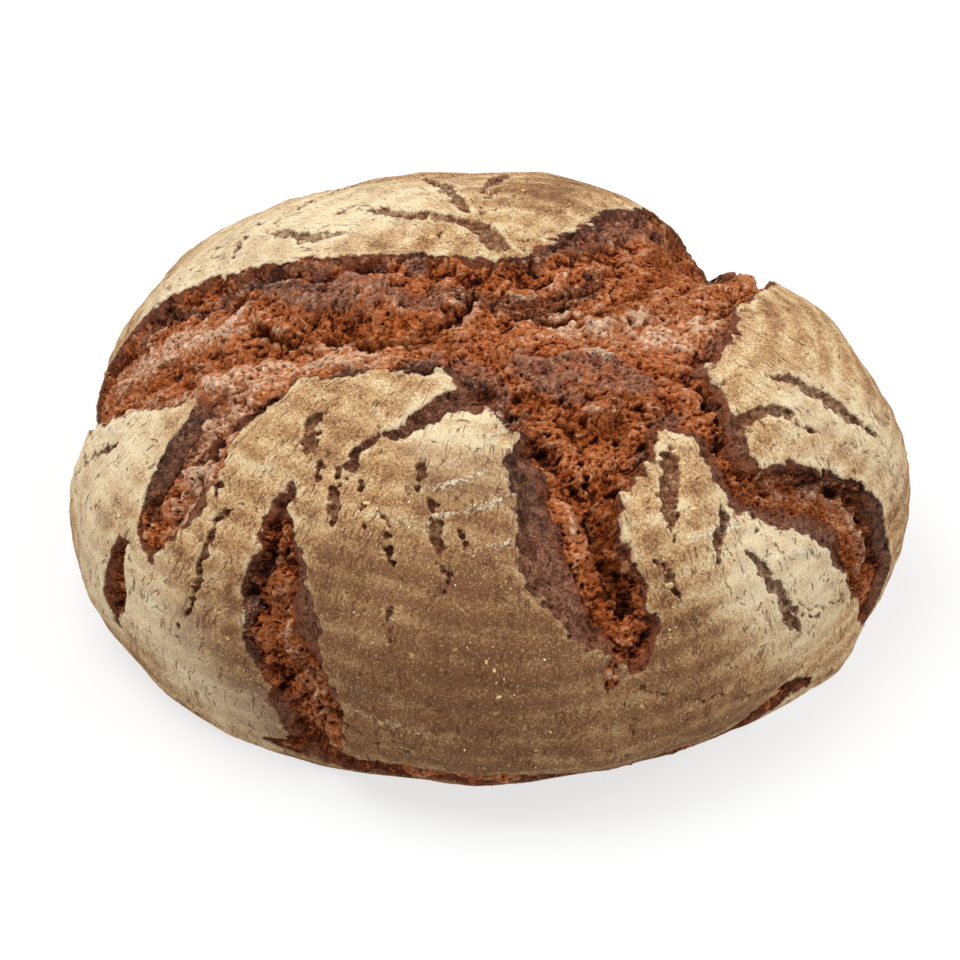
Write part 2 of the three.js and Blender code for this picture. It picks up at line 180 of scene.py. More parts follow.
# along these lines the crumb has pulled deepest
troughs = {
    "under the lip of the top plate": {"depth": 4.2, "wall": 7,
     "course": [(174, 74, 1), (176, 64, 2), (179, 52, 2.5), (184, 44, 3), (190, 36, 5), (195, 27, 7),
                (207, 19, 7), (230, 12, 7), (270, 8, 8), (320, 8, 8), (0, 13, 7), (20, 20, 7), (32, 30, 7),
                (38, 40, 6), (40, 52, 4)]},
    "crevice of the front fissure": {"depth": 3, "wall": 3,
     "course": [(277, 28, 1), (283, 35, 2.5), (287, 44, 2.5), (290, 56, 2)]},
    "floor of the left tear": {"depth": 3, "wall": 3, "course": [(211, 41, 2), (215, 47, 3), (217, 58, 2)]},
    "floor of the front left tear": {"depth": 0.3, "wall": 3,
     "course": [(236, 56, 3), (239, 65, 5), (244, 75, 5), (249, 83, 4)]},
    "floor of the right tear": {"depth": 0.8, "wall": 4,
     "course": [(316, 46, 3), (326, 53, 4), (332, 63, 4), (334, 77, 5)]},
    "behind the crown": {"depth": 8, "wall": 9,
     "course": [(18, 31, 3), (28, 36, 7), (37, 42, 10), (43, 49, 12), (43, 57, 8)]},
    "floor of the back right tear": {"depth": 3, "wall": 3,
     "course": [(65, 55, 2), (71, 68, 4), (74, 80, 3)]},
}

# and here dough stands up inside them
ridges = {
    "floured mound on the crown": {"depth": 5, "wall": 12,
     "course": [(283, 15, 8), (292, 19, 9), (300, 25, 6)]},
    "ledge below the top plate": {"depth": 3.5, "wall": 4,
     "course": [(172, 30, 3), (177, 25, 6), (184, 20, 7), (192, 14, 5)]},
    "lip behind the left plates": {"depth": 3, "wall": 4,
     "course": [(216, 30, 2), (228, 24, 4), (243, 18, 5), (262, 19, 4)]},
}

# narrow crevices and caves in the crumb, with a reach of their own
crevices = {
    "under the mauve ledge": {"depth": 5, "wall": 1.6,
     "course": [(177, 46, 1), (179, 39, 1.3), (187, 30.5, 1.5), (195, 26, 1.5), (200, 22.5, 1.8),
                (206, 20, 2.2), (212, 18, 2.6), (218, 15, 2.6), (224, 12, 2)]},
    "under the top lip": {"depth": 3.5, "wall": 1.5,
     "course": [(172, 56, 0.8), (166, 51.5, 1), (168, 43, 1.2), (171, 36, 1.4), (172, 30.5, 1.2),
                (173, 25, 1)]},
    "cave by the crown": {"depth": 5, "wall": 1.6,
     "course": [(222, 10.5, 2.6), (222, 7, 2.4), (221, 5, 1.6)]},
    "cave above the band": {"depth": 4, "wall": 1.5, "course": [(238, 12, 2.2), (231, 14, 1.8)]},
    "hole above the band": {"depth": 5, "wall": 1.5, "course": [(246, 16, 1.4), (242, 15.5, 1.6)]},
    "under the crown lip": {"depth": 4, "wall": 1.6,
     "course": [(265, 5.5, 1.2), (290, 5.5, 2), (306, 6.5, 2.4), (318, 9, 2.6), (330, 10.5, 1.4),
                (341, 11.5, 2), (350, 13, 1.2), (358, 14.5, 1.8)]},
    "edge of the front fissure": {"depth": 4.5, "wall": 1.5,
     "course": [(267, 19.6, 0.6), (271, 23, 1.1), (275, 23.7, 1.2), (280, 24.5, 0.7), (283, 25, 0.9),
                (286, 27, 1.4), (287.5, 30, 1), (287.5, 33, 1.5), (287, 37.4, 0.7), (286, 41.7, 1.1),
                (287, 48.4, 0.7), (288.5, 54.7, 0.9), (289.5, 60, 0.5)]},
    "hole below the mound": {"depth": 4, "wall": 1.5, "course": [(292, 26, 2), (290, 25.6, 1.2)]},
    "small hole below the mound": {"depth": 3, "wall": 1, "course": [(301, 25.8, 1.3), (300, 25.4, 1)]},
    "round cave in the left arm": {"depth": 5, "wall": 2, "course": [(187, 41.5, 3.4), (187, 43.5, 3)]},
    "back of the right tear": {"depth": 2.8, "wall": 1.6,
     "course": [(316, 38, 0.5), (316, 47, 0.8), (321, 49.6, 1), (327, 52.5, 1.1), (332, 57, 1.5),
                (334.5, 64, 1.8), (335.5, 72, 1.8), (337, 80, 1.2)]},
    "back of the left tear": {"depth": 4, "wall": 1.4,
     "course": [(208, 37, 1), (211, 42, 1.2), (215, 47.5, 1.4), (217, 58.6, 1)]},
    "back of the front left tear": {"depth": 1.2, "wall": 1.4,
     "course": [(235.4, 58.4, 0.6), (236.6, 63, 0.9), (238.6, 68, 0.7), (243, 75, 1), (246.5, 77.4, 0.8)]},
    "hole at the front left foot": {"depth": 6, "wall": 2,
     "course": [(247.5, 82.5, 2.4), (250.5, 82.5, 2.8)]},
}

# shallow stretch marks, where the crust opened no deeper than its skin
marks = [
    [(190.6, 70, 0.6), (193, 63.6, 1.4), (196.1, 58.3, 1.2), (197.6, 55.5, 0.4)],
    [(230.6, 30.3, 1), (229, 32.5, 2), (228.2, 33.8, 2.5), (229.6, 35.7, 2.5), (231.7, 37.5, 2),
     (232.4, 38.5, 0.8)],
    [(335, 34.6, 0.5), (337.4, 37.4, 1.8), (339.4, 40, 2.8), (340.5, 43.4, 3), (341, 46.7, 2.6),
     (341.9, 49.4, 2.2), (343, 53, 1.4), (344.6, 56.8, 0.9), (346.2, 61.4, 0.6)],
    [(321, 37.4, 2.4), (325.9, 37.9, 2), (328.6, 39.1, 1.9), (330.5, 40.8, 1.7), (331, 42.8, 1),
     (332.2, 45.1, 0.9), (333.5, 46.6, 0.3)],
    [(309.3, 47.4, 1.2), (306.8, 49.3, 2.3), (304.6, 51.8, 2), (303.7, 54.6, 0.3)],
    [(309.2, 53.8, 0.5), (310.6, 58.1, 2), (311.5, 62.1, 2.2), (313.4, 66.7, 1.8), (315.9, 70.1, 0.9),
     (320, 74, 0.4)],
    [(311.9, 65.4, 1), (313, 68, 1.9), (314.3, 71, 1.9), (316, 74.8, 0.5)],
    [(304, 36.3, 3), (301, 39.8, 3.1), (299, 43, 2.8), (298, 45.6, 1.6), (298, 48.4, 0.6)],
    [(293, 49, 0.3), (295, 51.7, 1.1), (296, 54.3, 1.1), (297, 57, 0.3)],
    [(136.4, 22.9, 0.6), (135.4, 19.2, 2), (133.6, 15.4, 2.6), (128, 12.4, 2.4), (118.9, 10.3, 2.8),
     (111.6, 8, 3.6), (109, 5.6, 4), (106, 3.4, 3)],
    [(109.1, 31, 1.6), (108.2, 24.6, 3), (109, 19.8, 3), (109.6, 15.4, 2.6), (111.8, 12, 1.4)],
    [(104, 10.6, 1), (100.5, 13.5, 1.4), (94, 18.4, 1), (85.1, 20.4, 0.5)],
    [(88, 34, 2.6), (89.5, 30, 3), (93.4, 23, 2.4), (97.3, 18.6, 1)],
    [(133.8, 10, 1.1), (140, 9, 1.2), (147.1, 7.9, 0.9)],
    [(150.4, 32.6, 0.5), (153.3, 28, 2.6), (155.7, 24.2, 3), (153, 21.9, 1.8), (150.8, 19.4, 0.5)],
    [(146, 37.4, 0.5), (143.5, 34.6, 0.9), (138.7, 33.1, 0.9), (130.6, 33.3, 1.3), (121, 33.5, 0.7)],
    [(153.4, 42.8, 0.4), (150.1, 40, 0.8), (147.6, 38, 0.5)],
    [(158.2, 36.2, 1), (154.5, 36.4, 1.5), (150.8, 36.4, 0.8)],
    [(139.6, 25.3, 0.7), (134, 24.6, 0.8)],
    [(225.7, 50.8, 1), (225, 54, 1.5), (226.1, 56.9, 1.7), (226.5, 60.3, 1.7), (227.2, 64.6, 1.4),
     (227.1, 69.4, 0.8), (226, 71.5, 0.7), (226.3, 76, 0.5)],
    [(212.7, 64.4, 1.2), (210.4, 68.3, 1)],
    [(236, 39.4, 1.6), (237, 43.3, 1.4)],
    [(239, 39.3, 1), (241, 41.3, 1.2)],
    [(241, 43, 1.5), (244, 46.8, 1.4)],
    [(245, 40, 1), (250, 46.7, 1)],
    [(252, 43.9, 1), (255, 50, 0.9)],
    [(255, 35.5, 1.4), (256, 39, 1)],
    [(259, 40.8, 1.9), (261, 44.1, 2.4), (262, 46.5, 1.3)],
    [(262, 48.2, 0.5), (264, 50.5, 1), (264, 52.4, 0.3)],
    [(265, 44, 1), (266, 46, 0.8)],
    [(257, 57.3, 0.6), (257, 59.7, 1), (258, 61.8, 0.7)],
    [(313.4, 50.6, 0.6), (312.7, 52.8, 0.6)],
    [(221.6, 49, 0.9), (221.8, 50.4, 0.7)],
    [(72, 5.3, 0.6), (59, 7.3, 0.5)],
    [(95, 46, 0.6), (97, 55, 2.2), (98, 62, 2.6), (100, 70, 1.8), (101, 76, 0.6)],
    [(108, 58, 0.6), (110, 66, 2), (109, 73, 1.2)],
    [(135, 52, 0.6), (137, 58, 1.8), (140, 65, 0.8)],
    [(84, 38, 0.8), (82, 47, 2.4), (81, 55, 2), (80, 60, 0.6)],
    [(55, 60, 0.6), (56, 69, 2.2), (58, 76, 1.2)],
    [(25, 68, 0.6), (27, 76, 2), (26, 82, 0.8)],
    [(352, 64, 0.6), (354, 72, 2.2), (356, 78, 0.8)],
    [(145, 74, 0.6), (143, 80, 2), (142, 86, 0.8)],
]

# hair cracks, as thin as the crust's own skin
hairs = [
    [(324, 31), (328.5, 32), (332.1, 33), (335.1, 34.4)],
    [(348.7, 26.3), (355.3, 29.3), (0.8, 33.7), (3.3, 37.5), (2.7, 39.8), (359.4, 40.1)],
    [(336.3, 50.6), (339.3, 54.3), (341.1, 58), (342.6, 62.5), (344.3, 67.4), (346.9, 73.2)],
    [(326.8, 42.8), (326.9, 44.4), (328, 46)],
    [(346, 48.8), (346, 52.3), (348, 57.4)],
    [(316, 68.3), (320, 72.4), (325, 74.9)],
    [(287, 70), (288, 73), (289, 77.3), (288, 80.5), (288, 83)],
    [(289, 68.8), (292, 71.6), (299, 76.1), (301, 76.3), (305, 79.9), (309, 82), (314, 85.2)],
    [(253, 79), (257, 80.5), (262, 82)],
    [(214, 66), (215.5, 70), (215.4, 74)],
    [(160, 44), (156, 41.5), (152, 41)],
    [(90, 62), (93, 66), (92, 71), (95, 75)],
    [(115, 44), (118, 49), (116, 55)],
    [(60, 50), (57, 56), (59, 61)],
    [(30, 58), (33, 63), (31, 69), (34, 74)],
    [(140, 44), (143, 50), (141, 57)],
    [(80, 72), (83, 77), (82, 83)],
]

# soft patches of tone on the crust and in the tears
# name, reach of its soft edge in mm, and its courses
patches = {
    # grey-mauve skin on the high parts of the torn crumb
    "mauve": (4.0, [
        [(172, 30, 2), (176, 26, 5), (182, 22, 7), (187, 17, 7), (193, 12, 5), (204, 9, 3)],
        [(172, 62, 1), (167, 56, 1), (165, 50, 1.5), (168, 43, 1), (166, 36, 2), (167, 28, 3), (164, 18, 3),
         (163, 10, 3)],
        [(60, 4, 3), (40, 8, 3), (42, 14, 4), (45, 21, 6), (45, 27, 6), (47, 35, 7)],
        [(278, 17, 5), (290, 20, 9), (303, 21, 9), (311, 24, 6)],
        [(218, 28, 1), (224, 26, 2), (232, 25, 4), (244, 21, 5), (255, 19, 6), (266, 20, 5), (270, 24, 2)],
        [(322, 37, 3), (327, 30, 3), (335, 27, 3), (345, 28, 4), (355, 31, 4), (8, 35, 4)],
        [(300, 34, 2.5), (306, 32, 2.5), (312, 31, 3)],
        [(186, 60, 1), (193, 51, 1), (199, 45, 1.5), (203, 42, 1.5)],
        [(191, 40, 0.5), (196, 36, 1)],
        [(340, 17, 3), (350, 24, 4), (346, 27, 3)],
    ]),
    # crumb painted paler and pinker where it lies in the light: painted light
    "rosyPaintedLight": (7.0, [
        [(172, 62, 4), (174, 52, 6), (177, 43, 5), (179, 35, 2)],
        [(188, 55, 3), (195, 46, 4), (201, 38, 5), (204, 31, 5), (206, 25, 3), (216, 23, 3), (226, 21, 1)],
        [(207, 38, 6), (211, 45, 6), (217, 52, 6), (219, 58, 4)],
        [(300, 12, 3), (320, 14, 3), (335, 20, 5), (350, 24, 4)],
        [(238, 60, 0.5), (240, 68, 1.5), (246, 77, 1.5)],
        [(317, 47, 0.5), (326, 53, 1.5), (332, 62, 2), (334, 74, 2)],
        [(290, 40, 0.2), (289, 50, 0.5)],
    ]),
    # and crumb that pulled deep and stayed amber
    "amber": (5.0, [
        [(174, 70, 4), (178, 60, 3), (184, 49, 2.5), (189, 42, 2.5), (193, 36, 2)],
        [(183, 33, 1), (189, 29, 2), (197, 25, 2)],
        [(205, 39, 1), (209, 36, 1.5)],
        [(188, 52, 1), (193, 46, 1.5), (199, 41, 2)],
        [(196, 26, 2), (204, 20, 4), (212, 16, 5), (222, 12, 4), (236, 14, 4), (250, 15, 4)],
        [(330, 12, 4), (350, 14, 4), (15, 20, 5), (25, 26, 6), (36, 30, 6)],
        [(262, 21, 3), (272, 22, 4), (282, 25, 5), (292, 28, 6), (302, 27, 4), (312, 30, 4)],
        [(291, 36, 4), (288, 46, 5), (288, 56, 5)],
        [(313, 46, 4), (325, 54, 4), (331, 64, 5), (334, 78, 5)],
        [(238, 60, 3), (240, 67, 3), (246, 78, 4)],
        [(66, 54, 4), (71, 68, 5), (74, 80, 4)],
    ]),
    # lips that the oven's heat has burnt grey-black, and partly painted shade under the plates' lips
    "scorchAndShade": (2.4, [
        [(172, 62, 1), (166, 54, 1.4), (165, 48, 1.6), (169, 41, 1.6), (167, 34, 1.4), (166, 28, 1.4)],
        [(163, 12, 1.4), (158, 8, 1.6), (146, 4, 2), (112, 2.5, 2), (30, 3.4, 2), (43, 9, 2), (48, 16, 2.4),
         (51, 24, 2.4), (51, 34, 2.6)],
        [(198, 8, 3), (240, 4, 3), (300, 5, 4), (350, 8, 4), (10, 10, 3)],
        [(216, 31, 1.5), (222, 27, 2.5), (232, 24, 3), (248, 20, 3.4), (262, 21, 3.4)],
        [(211.5, 40, 0.4), (212, 37.5, 1.2), (213, 34.5, 1.8), (214.1, 31, 1.8), (216, 28, 1.4)],
        [(171, 38, 1), (171, 33, 2), (174, 27, 2), (176, 22, 1.5)],
        [(236, 56, 2), (233.5, 61, 3), (233, 66, 4), (236, 71, 3), (238, 74, 2)],
        [(207, 40, 2), (207, 47, 4), (210, 54, 4), (213, 59, 2)],
        [(272, 25, 4), (274, 33, 6), (276, 40, 5)],
        [(320, 44, 1), (326, 50, 2), (333, 56, 3), (338, 66, 4), (339, 76, 4)],
    ]),
    # crust browned darker low on the front, and behind the crown; low on the front the darkening is partly
    # painted shade
    "brownedAndShaded": (26.0, [
        [(240, 74, 16), (258, 66, 22), (275, 64, 27), (291, 72, 18)],
        [(250, 88, 12), (280, 88, 16), (305, 86, 10)],
        [(262, 42, 2), (272, 44, 4)],
        [(74, 20, 1), (72, 28, 1)],
        [(60, 86, 10), (90, 88, 12), (120, 88, 8)],
        [(12, 84, 8), (28, 74, 6)],
    ]),
    # crust that kept a coat of flour
    "floured": (22.0, [
        [(165, 48, 12), (150, 34, 24), (130, 22, 16)],
        [(188, 62, 16), (197, 56, 14), (200, 68, 10), (208, 76, 8)],
        [(218, 73, 5), (227, 79, 7), (236, 85, 3)],
        [(336, 44, 4), (345, 58, 6)],
        [(312, 57, 12), (319, 61, 20)],
        [(258, 31, 3), (268, 31, 2)],
        [(92, 60, 10), (112, 68, 8)],
        [(48, 66, 6), (20, 60, 4)],
    ]),
    # ridges of the basket's coil, rubbed with flour
    "chalky": (1.5, [
        [(256.6, 38.8, 0.2), (259.7, 37.9, 0.7), (262.7, 36.7, 0.9), (266.1, 35.1, 0.5), (268, 34, 0.1)],
        [(255, 43.4, 0.1), (261.8, 41.7, 0.5), (265.7, 40.5, 0.9), (269.2, 38.9, 1), (272.1, 37.4, 0.6)],
        [(258.8, 35.5, 0.1), (263.9, 32.5, 0.3), (267.5, 30, 0.5), (270.4, 26.8, 0.3)],
        [(266, 46.5, 0.3), (270, 45, 0.6), (274, 43.6, 0.4)],
        [(300.2, 49.6, 0.8), (304.9, 49.8, 1.6), (308.7, 50.3, 1.2), (311.3, 52.4, 0.8)],
        [(188, 60, 0.5), (193, 57, 0.8), (199, 52, 0.5)],
        [(312, 58, 0.5), (318, 60, 1), (324, 64, 0.5)],
    ]),
    # loose white flour
    "dusted": (4.0, [
        [(300, 16, 1), (304.5, 16, 3), (308, 18.5, 2)],
        [(268, 23.5, 1), (271, 26, 1)],
        [(249, 71, 0.5), (254, 71, 1), (262, 70.5, 0.5)],
        [(252, 75.5, 0.5), (258, 76, 1.5), (264, 77, 1)],
        [(236, 64, 1), (235, 68, 1.5)],
    ]),
}

relief = {
    "swell": 1.2,  # slow unevenness of the crust
    "swellWave": 46.0,
    "crags": 1.8,  # lumps of torn crumb
    "cragWave": 15.0,
    "plateDip": 1.6,  # how far plates sink to their edges
    "plateDipReach": 16.0,
    "overhang": 2.2,  # how far a plate's lip leans out over the tear
    "coils": 0.15,  # ridges left by the basket
    "coilGap": 10.0,
    "arc": 2.176,  # mm of crust to one of run, from the crown to the waist
    "plateWaves": 0.55,
    "chalkRise": 0.25,
    "markDepth": 1.2,
    "hairDepth": 1.1,
    "hairWidth": 0.5,
    "leastHalf": 0.15,  # the least half width of any course
    "tearReach": 20.0,  # how far from a tear its edge is still measured
    "markReach": 6.0,
    "creviceReach": 2.0,
    "lipReach": 4.0,
    "lipSwell": 0.6,  # how much wider a lip's skin is than its course
    "farFromTears": 60.0,
    "farFromMarks": 9.0,
    "skinWidth": 0.8,  # the least skin between a tear's edge and its crumb
    "chipped": 0.7,  # middle depth of the chips along the plates' edges
    "markChipped": 0.9,  # and along the marks
    "footFade": 10.0,  # run over which relief stops moving the foot up or down
}

# random lumps that chip and swell a surface, as (height, size, seed)
chips = {
    "crumb edge": [(1.4, 6.0, 31), (1.2, 2.4, 32)],
    "plate edge": [(1.5, 4.5, 33), (1.0, 1.9, 34)],
    "mark edge": [(2.2, 3.6, 35), (1.2, 1.6, 36)],
    "plate": [(1.0, 17.0, 62), (0.45, 6.0, 63)],
}

# and how far courses stray, as (reach, size, seed)
strays = {
    "tears": [(1.8, 9.0, 1), (1.6, 3.6, 11), (0.9, 1.5, 21)],
    "marks": [(1.1, 4.5, 51), (0.9, 1.9, 54), (0.4, 0.9, 57)],
    "crevices": [(2.2, 6.0, 91), (1.1, 2.4, 94)],
    "patches": [(0.35, 1.6, 41), (0.25, 0.5, 44)],  # times the patch's own reach
}


# chain of points on the dome along a course, each with its half width
def layOut(course, stepsPerSpan=6):
    bearing, run, half = np.array(course).T
    turn = np.radians(bearing)
    stops = np.stack([run / 100 * np.cos(turn), run / 100 * np.sin(turn), half], axis=1)
    padded = np.vstack([2 * stops[0] - stops[1], stops, 2 * stops[-1] - stops[-2]])
    chain = []
    for a, b, c, d in zip(padded[:-3], padded[1:-2], padded[2:-1], padded[3:]):
        for t in np.arange(stepsPerSpan) / stepsPerSpan:
            chain.append(0.5 * (2 * b + (c - a) * t + (2 * a - 5 * b + 4 * c - d) * t ** 2
                                + (3 * b - a - 3 * c + d) * t ** 3))
    chain = np.array(chain + [stops[-1]])
    return onDisk(chain[:, :2]), np.maximum(chain[:, 2], relief["leastHalf"])


# the points near a course, their signed gap to its edge (below zero inside) and the way straight out of it
def nearCourse(points, course, reach, stepsPerSpan=6):
    chain, half = layOut(course, stepsPerSpan)
    low = chain.min(axis=0) - half.max() - reach
    high = chain.max(axis=0) + half.max() + reach
    near = np.nonzero(((points > low) & (points < high)).all(axis=1))[0]
    here = points[near]
    spans = chain[1:] - chain[:-1]
    lengths = np.linalg.norm(spans, axis=1) + 1e-9
    gap = np.full(len(near), 1e3)
    outward = np.zeros((len(near), 3))
    for i in range(len(spans)):
        offset = here - chain[i]
        t = np.clip(offset @ spans[i] / lengths[i] ** 2, 0.0, 1.0)
        offset -= t[:, None] * spans[i]
        reached = np.sqrt((offset * offset).sum(axis=1)) - (half[i] + (half[i + 1] - half[i]) * t)
        closer = reached < gap
        gap[closer] = reached[closer]
        outward[closer] = offset[closer]
    return near, gap, outward / (np.linalg.norm(outward, axis=1, keepdims=True) + 1e-6)


# way and phase
waves = [((0.83, 0.31, 0.46), 0.4), ((-0.37, 0.88, 0.29), 2.1), ((0.24, -0.52, 0.82), 4.3),
         ((-0.71, -0.43, 0.56), 1.2)]


def lumps(points, wave):
    turns = 2 * math.pi / wave
    total = 0.0
    for i, (way, phase) in enumerate(waves):
        swirl = np.sin(points @ np.array(waves[(i + 1) % 4][0]) * turns * 0.61 + phase)
        total = total + np.sin(points @ np.array(way) * turns + phase + swirl)
    return total / len(waves)


# soft random lumps of a given size, between -1 and 1
def randomLumps(points, size, seed):
    table = np.random.default_rng(seed).uniform(-1, 1, (32, 32, 32)).astype(np.float32)
    cell = points / size
    floor = np.floor(cell)
    part = cell - floor
    part = part * part * (3 - 2 * part)
    i, j, k = (floor.astype(np.int64) & 31).T
    total = np.zeros(len(points), dtype=np.float32)
    for di in (0, 1):
        for dj in (0, 1):
            for dk in (0, 1):
                weight = np.abs(1 - np.array([di, dj, dk]) - part).prod(axis=1)
                total += table[(i + di) & 31, (j + dj) & 31, (k + dk) & 31] * weight
    return total


# lumps of several sizes added up; creased, their slopes meet in sharp valleys
def lumpSum(points, steps, creased=False):
    total = 0.0
    for height, size, seed in steps:
        lumpy = randomLumps(points, size, seed)
        total = total + height * (np.abs(lumpy) if creased else lumpy)
    return total


def strayed(points, steps, scale=1.0):
    moved = points
    for reach, size, seed in steps:
        way = np.stack([randomLumps(points, scale * size, seed + n) for n in range(3)], axis=1)
        moved = moved + scale * reach * way
    return moved


# what each point lies nearest to: signed gap to the tear's edge and to its crumb, how far it has sunk,
# and the way out
def readTears(points):
    ragged = strayed(points, strays["tears"])
    far = relief["farFromTears"]
    reach = relief["tearReach"]
    count = len(points)
    edge = np.full(count, far)
    crumbEdge = np.full(count, far)
    sunk = np.zeros(count)
    away = np.zeros((count, 3))
    for tear in tears.values():
        near, gap, outward = nearCourse(ragged, tear["course"], reach)
        crumb = tear.get("crumb", far)
        if isinstance(crumb, list):
            inner, innerGap, _ = nearCourse(ragged, crumb, reach)
            crumbGap = np.full(count, far)
            crumbGap[inner] = innerGap
            crumbGap = np.maximum(crumbGap[near], gap + relief["skinWidth"])
        else:
            crumbGap = gap + crumb
        skinFall = 0.5 * smooth(0, tear["wall"], -gap)
        crumbFall = 0.5 * smooth(-1.0, 2.5, -crumbGap) if crumb != far else skinFall
        sunk[near] = np.maximum(sunk[near], tear["depth"] * (skinFall + crumbFall))
        closer = gap < edge[near]
        edge[near[closer]] = gap[closer]
        away[near[closer]] = outward[closer]
        crumbEdge[near] = np.minimum(crumbEdge[near], crumbGap)
    crumbEdge += lumpSum(points, chips["crumb edge"])
    for lip in lips:
        near, gap, _ = nearCourse(ragged, lip, relief["lipReach"])
        crumbEdge[near] = np.maximum(crumbEdge[near], relief["lipSwell"] - gap)
    # chipped, not rounded: the creases of the lumps make points
    edge += lumpSum(points, chips["plate edge"], creased=True) - relief["chipped"]
    return edge, crumbEdge, sunk, away


# 1 within any of the courses, easing to 0 over the given reach
def patchShade(points, reach, courses):
    shade = np.zeros(len(points))
    drifted = strayed(points, strays["patches"], reach)
    for course in courses:
        near, gap, _ = nearCourse(drifted, course, reach, 3)
        shade[near] = np.maximum(shade[near], 1.0 - smooth(-0.3 * reach, reach, gap))
    return shade


# hexagon rings of the disk: ring k has 6k corners
def hexDisk(rings):
    spots = [np.zeros((1, 2))]
    faces = []
    for k in range(1, rings + 1):
        angle = np.arange(6 * k) / (6 * k) * 2 * math.pi
        spots.append(np.stack([np.cos(angle), np.sin(angle)], axis=1) * k / rings)
        outer = 1 + 3 * k * (k - 1)
        inner = 1 + 3 * (k - 1) * (k - 2) if k > 1 else 0
        sector, i = np.divmod(np.arange(6 * k), k)
        here = outer + sector * k + i
        there = outer + (sector * k + i + 1) % (6 * k)
        low = inner + (sector * (k - 1) + i) % max(6 * (k - 1), 1)
        faces.append(np.stack([here, there, low], axis=1))
        pairs = i < k - 1
        high = inner + (sector * (k - 1) + i + 1) % max(6 * (k - 1), 1)
        faces.append(np.stack([there, high, low], axis=1)[pairs])
    return np.concatenate(spots), np.concatenate(faces)


# flat underside: rings drawn in from the foot, halving their corners until few are left
def closeBase(rim, firstIndex, rings):
    center = rim.mean(axis=0)
    ring = np.arange(len(rim)) + firstIndex
    made = firstIndex + len(rim)
    spots = []
    inward = []
    faces = []
    for share in 1.0 - (np.arange(1, rings + 1) / (rings + 1.0)) ** 1.5:
        n = len(ring)
        halve = n % 2 == 0 and n > 12 and n > 500 * share
        m = n // 2 if halve else n
        places = center + (rim[::len(rim) // m] - center) * share
        inner = made + np.arange(m)
        made += m
        spots.append(places)
        inward.append(np.full(m, 1.0 - share))
        i = np.arange(m)
        after = (i + 1) % m
        if halve:
            faces.append(np.stack([ring[2 * i], inner[i], ring[2 * i + 1]], axis=1))
            faces.append(np.stack([ring[2 * i + 1], inner[i], inner[after]], axis=1))
            faces.append(np.stack([ring[2 * i + 1], inner[after], ring[(2 * i + 2) % n]], axis=1))
        else:
            faces.append(np.stack([ring[i], inner[i], ring[after]], axis=1))
            faces.append(np.stack([ring[after], inner[i], inner[after]], axis=1))
        ring = inner
    spots.append(center[None, :])
    inward.append([1.0])
    faces.append(np.stack([ring, np.full(len(ring), made), np.roll(ring, -1)], axis=1))
    return np.concatenate(spots), np.concatenate(inward), np.concatenate(faces)


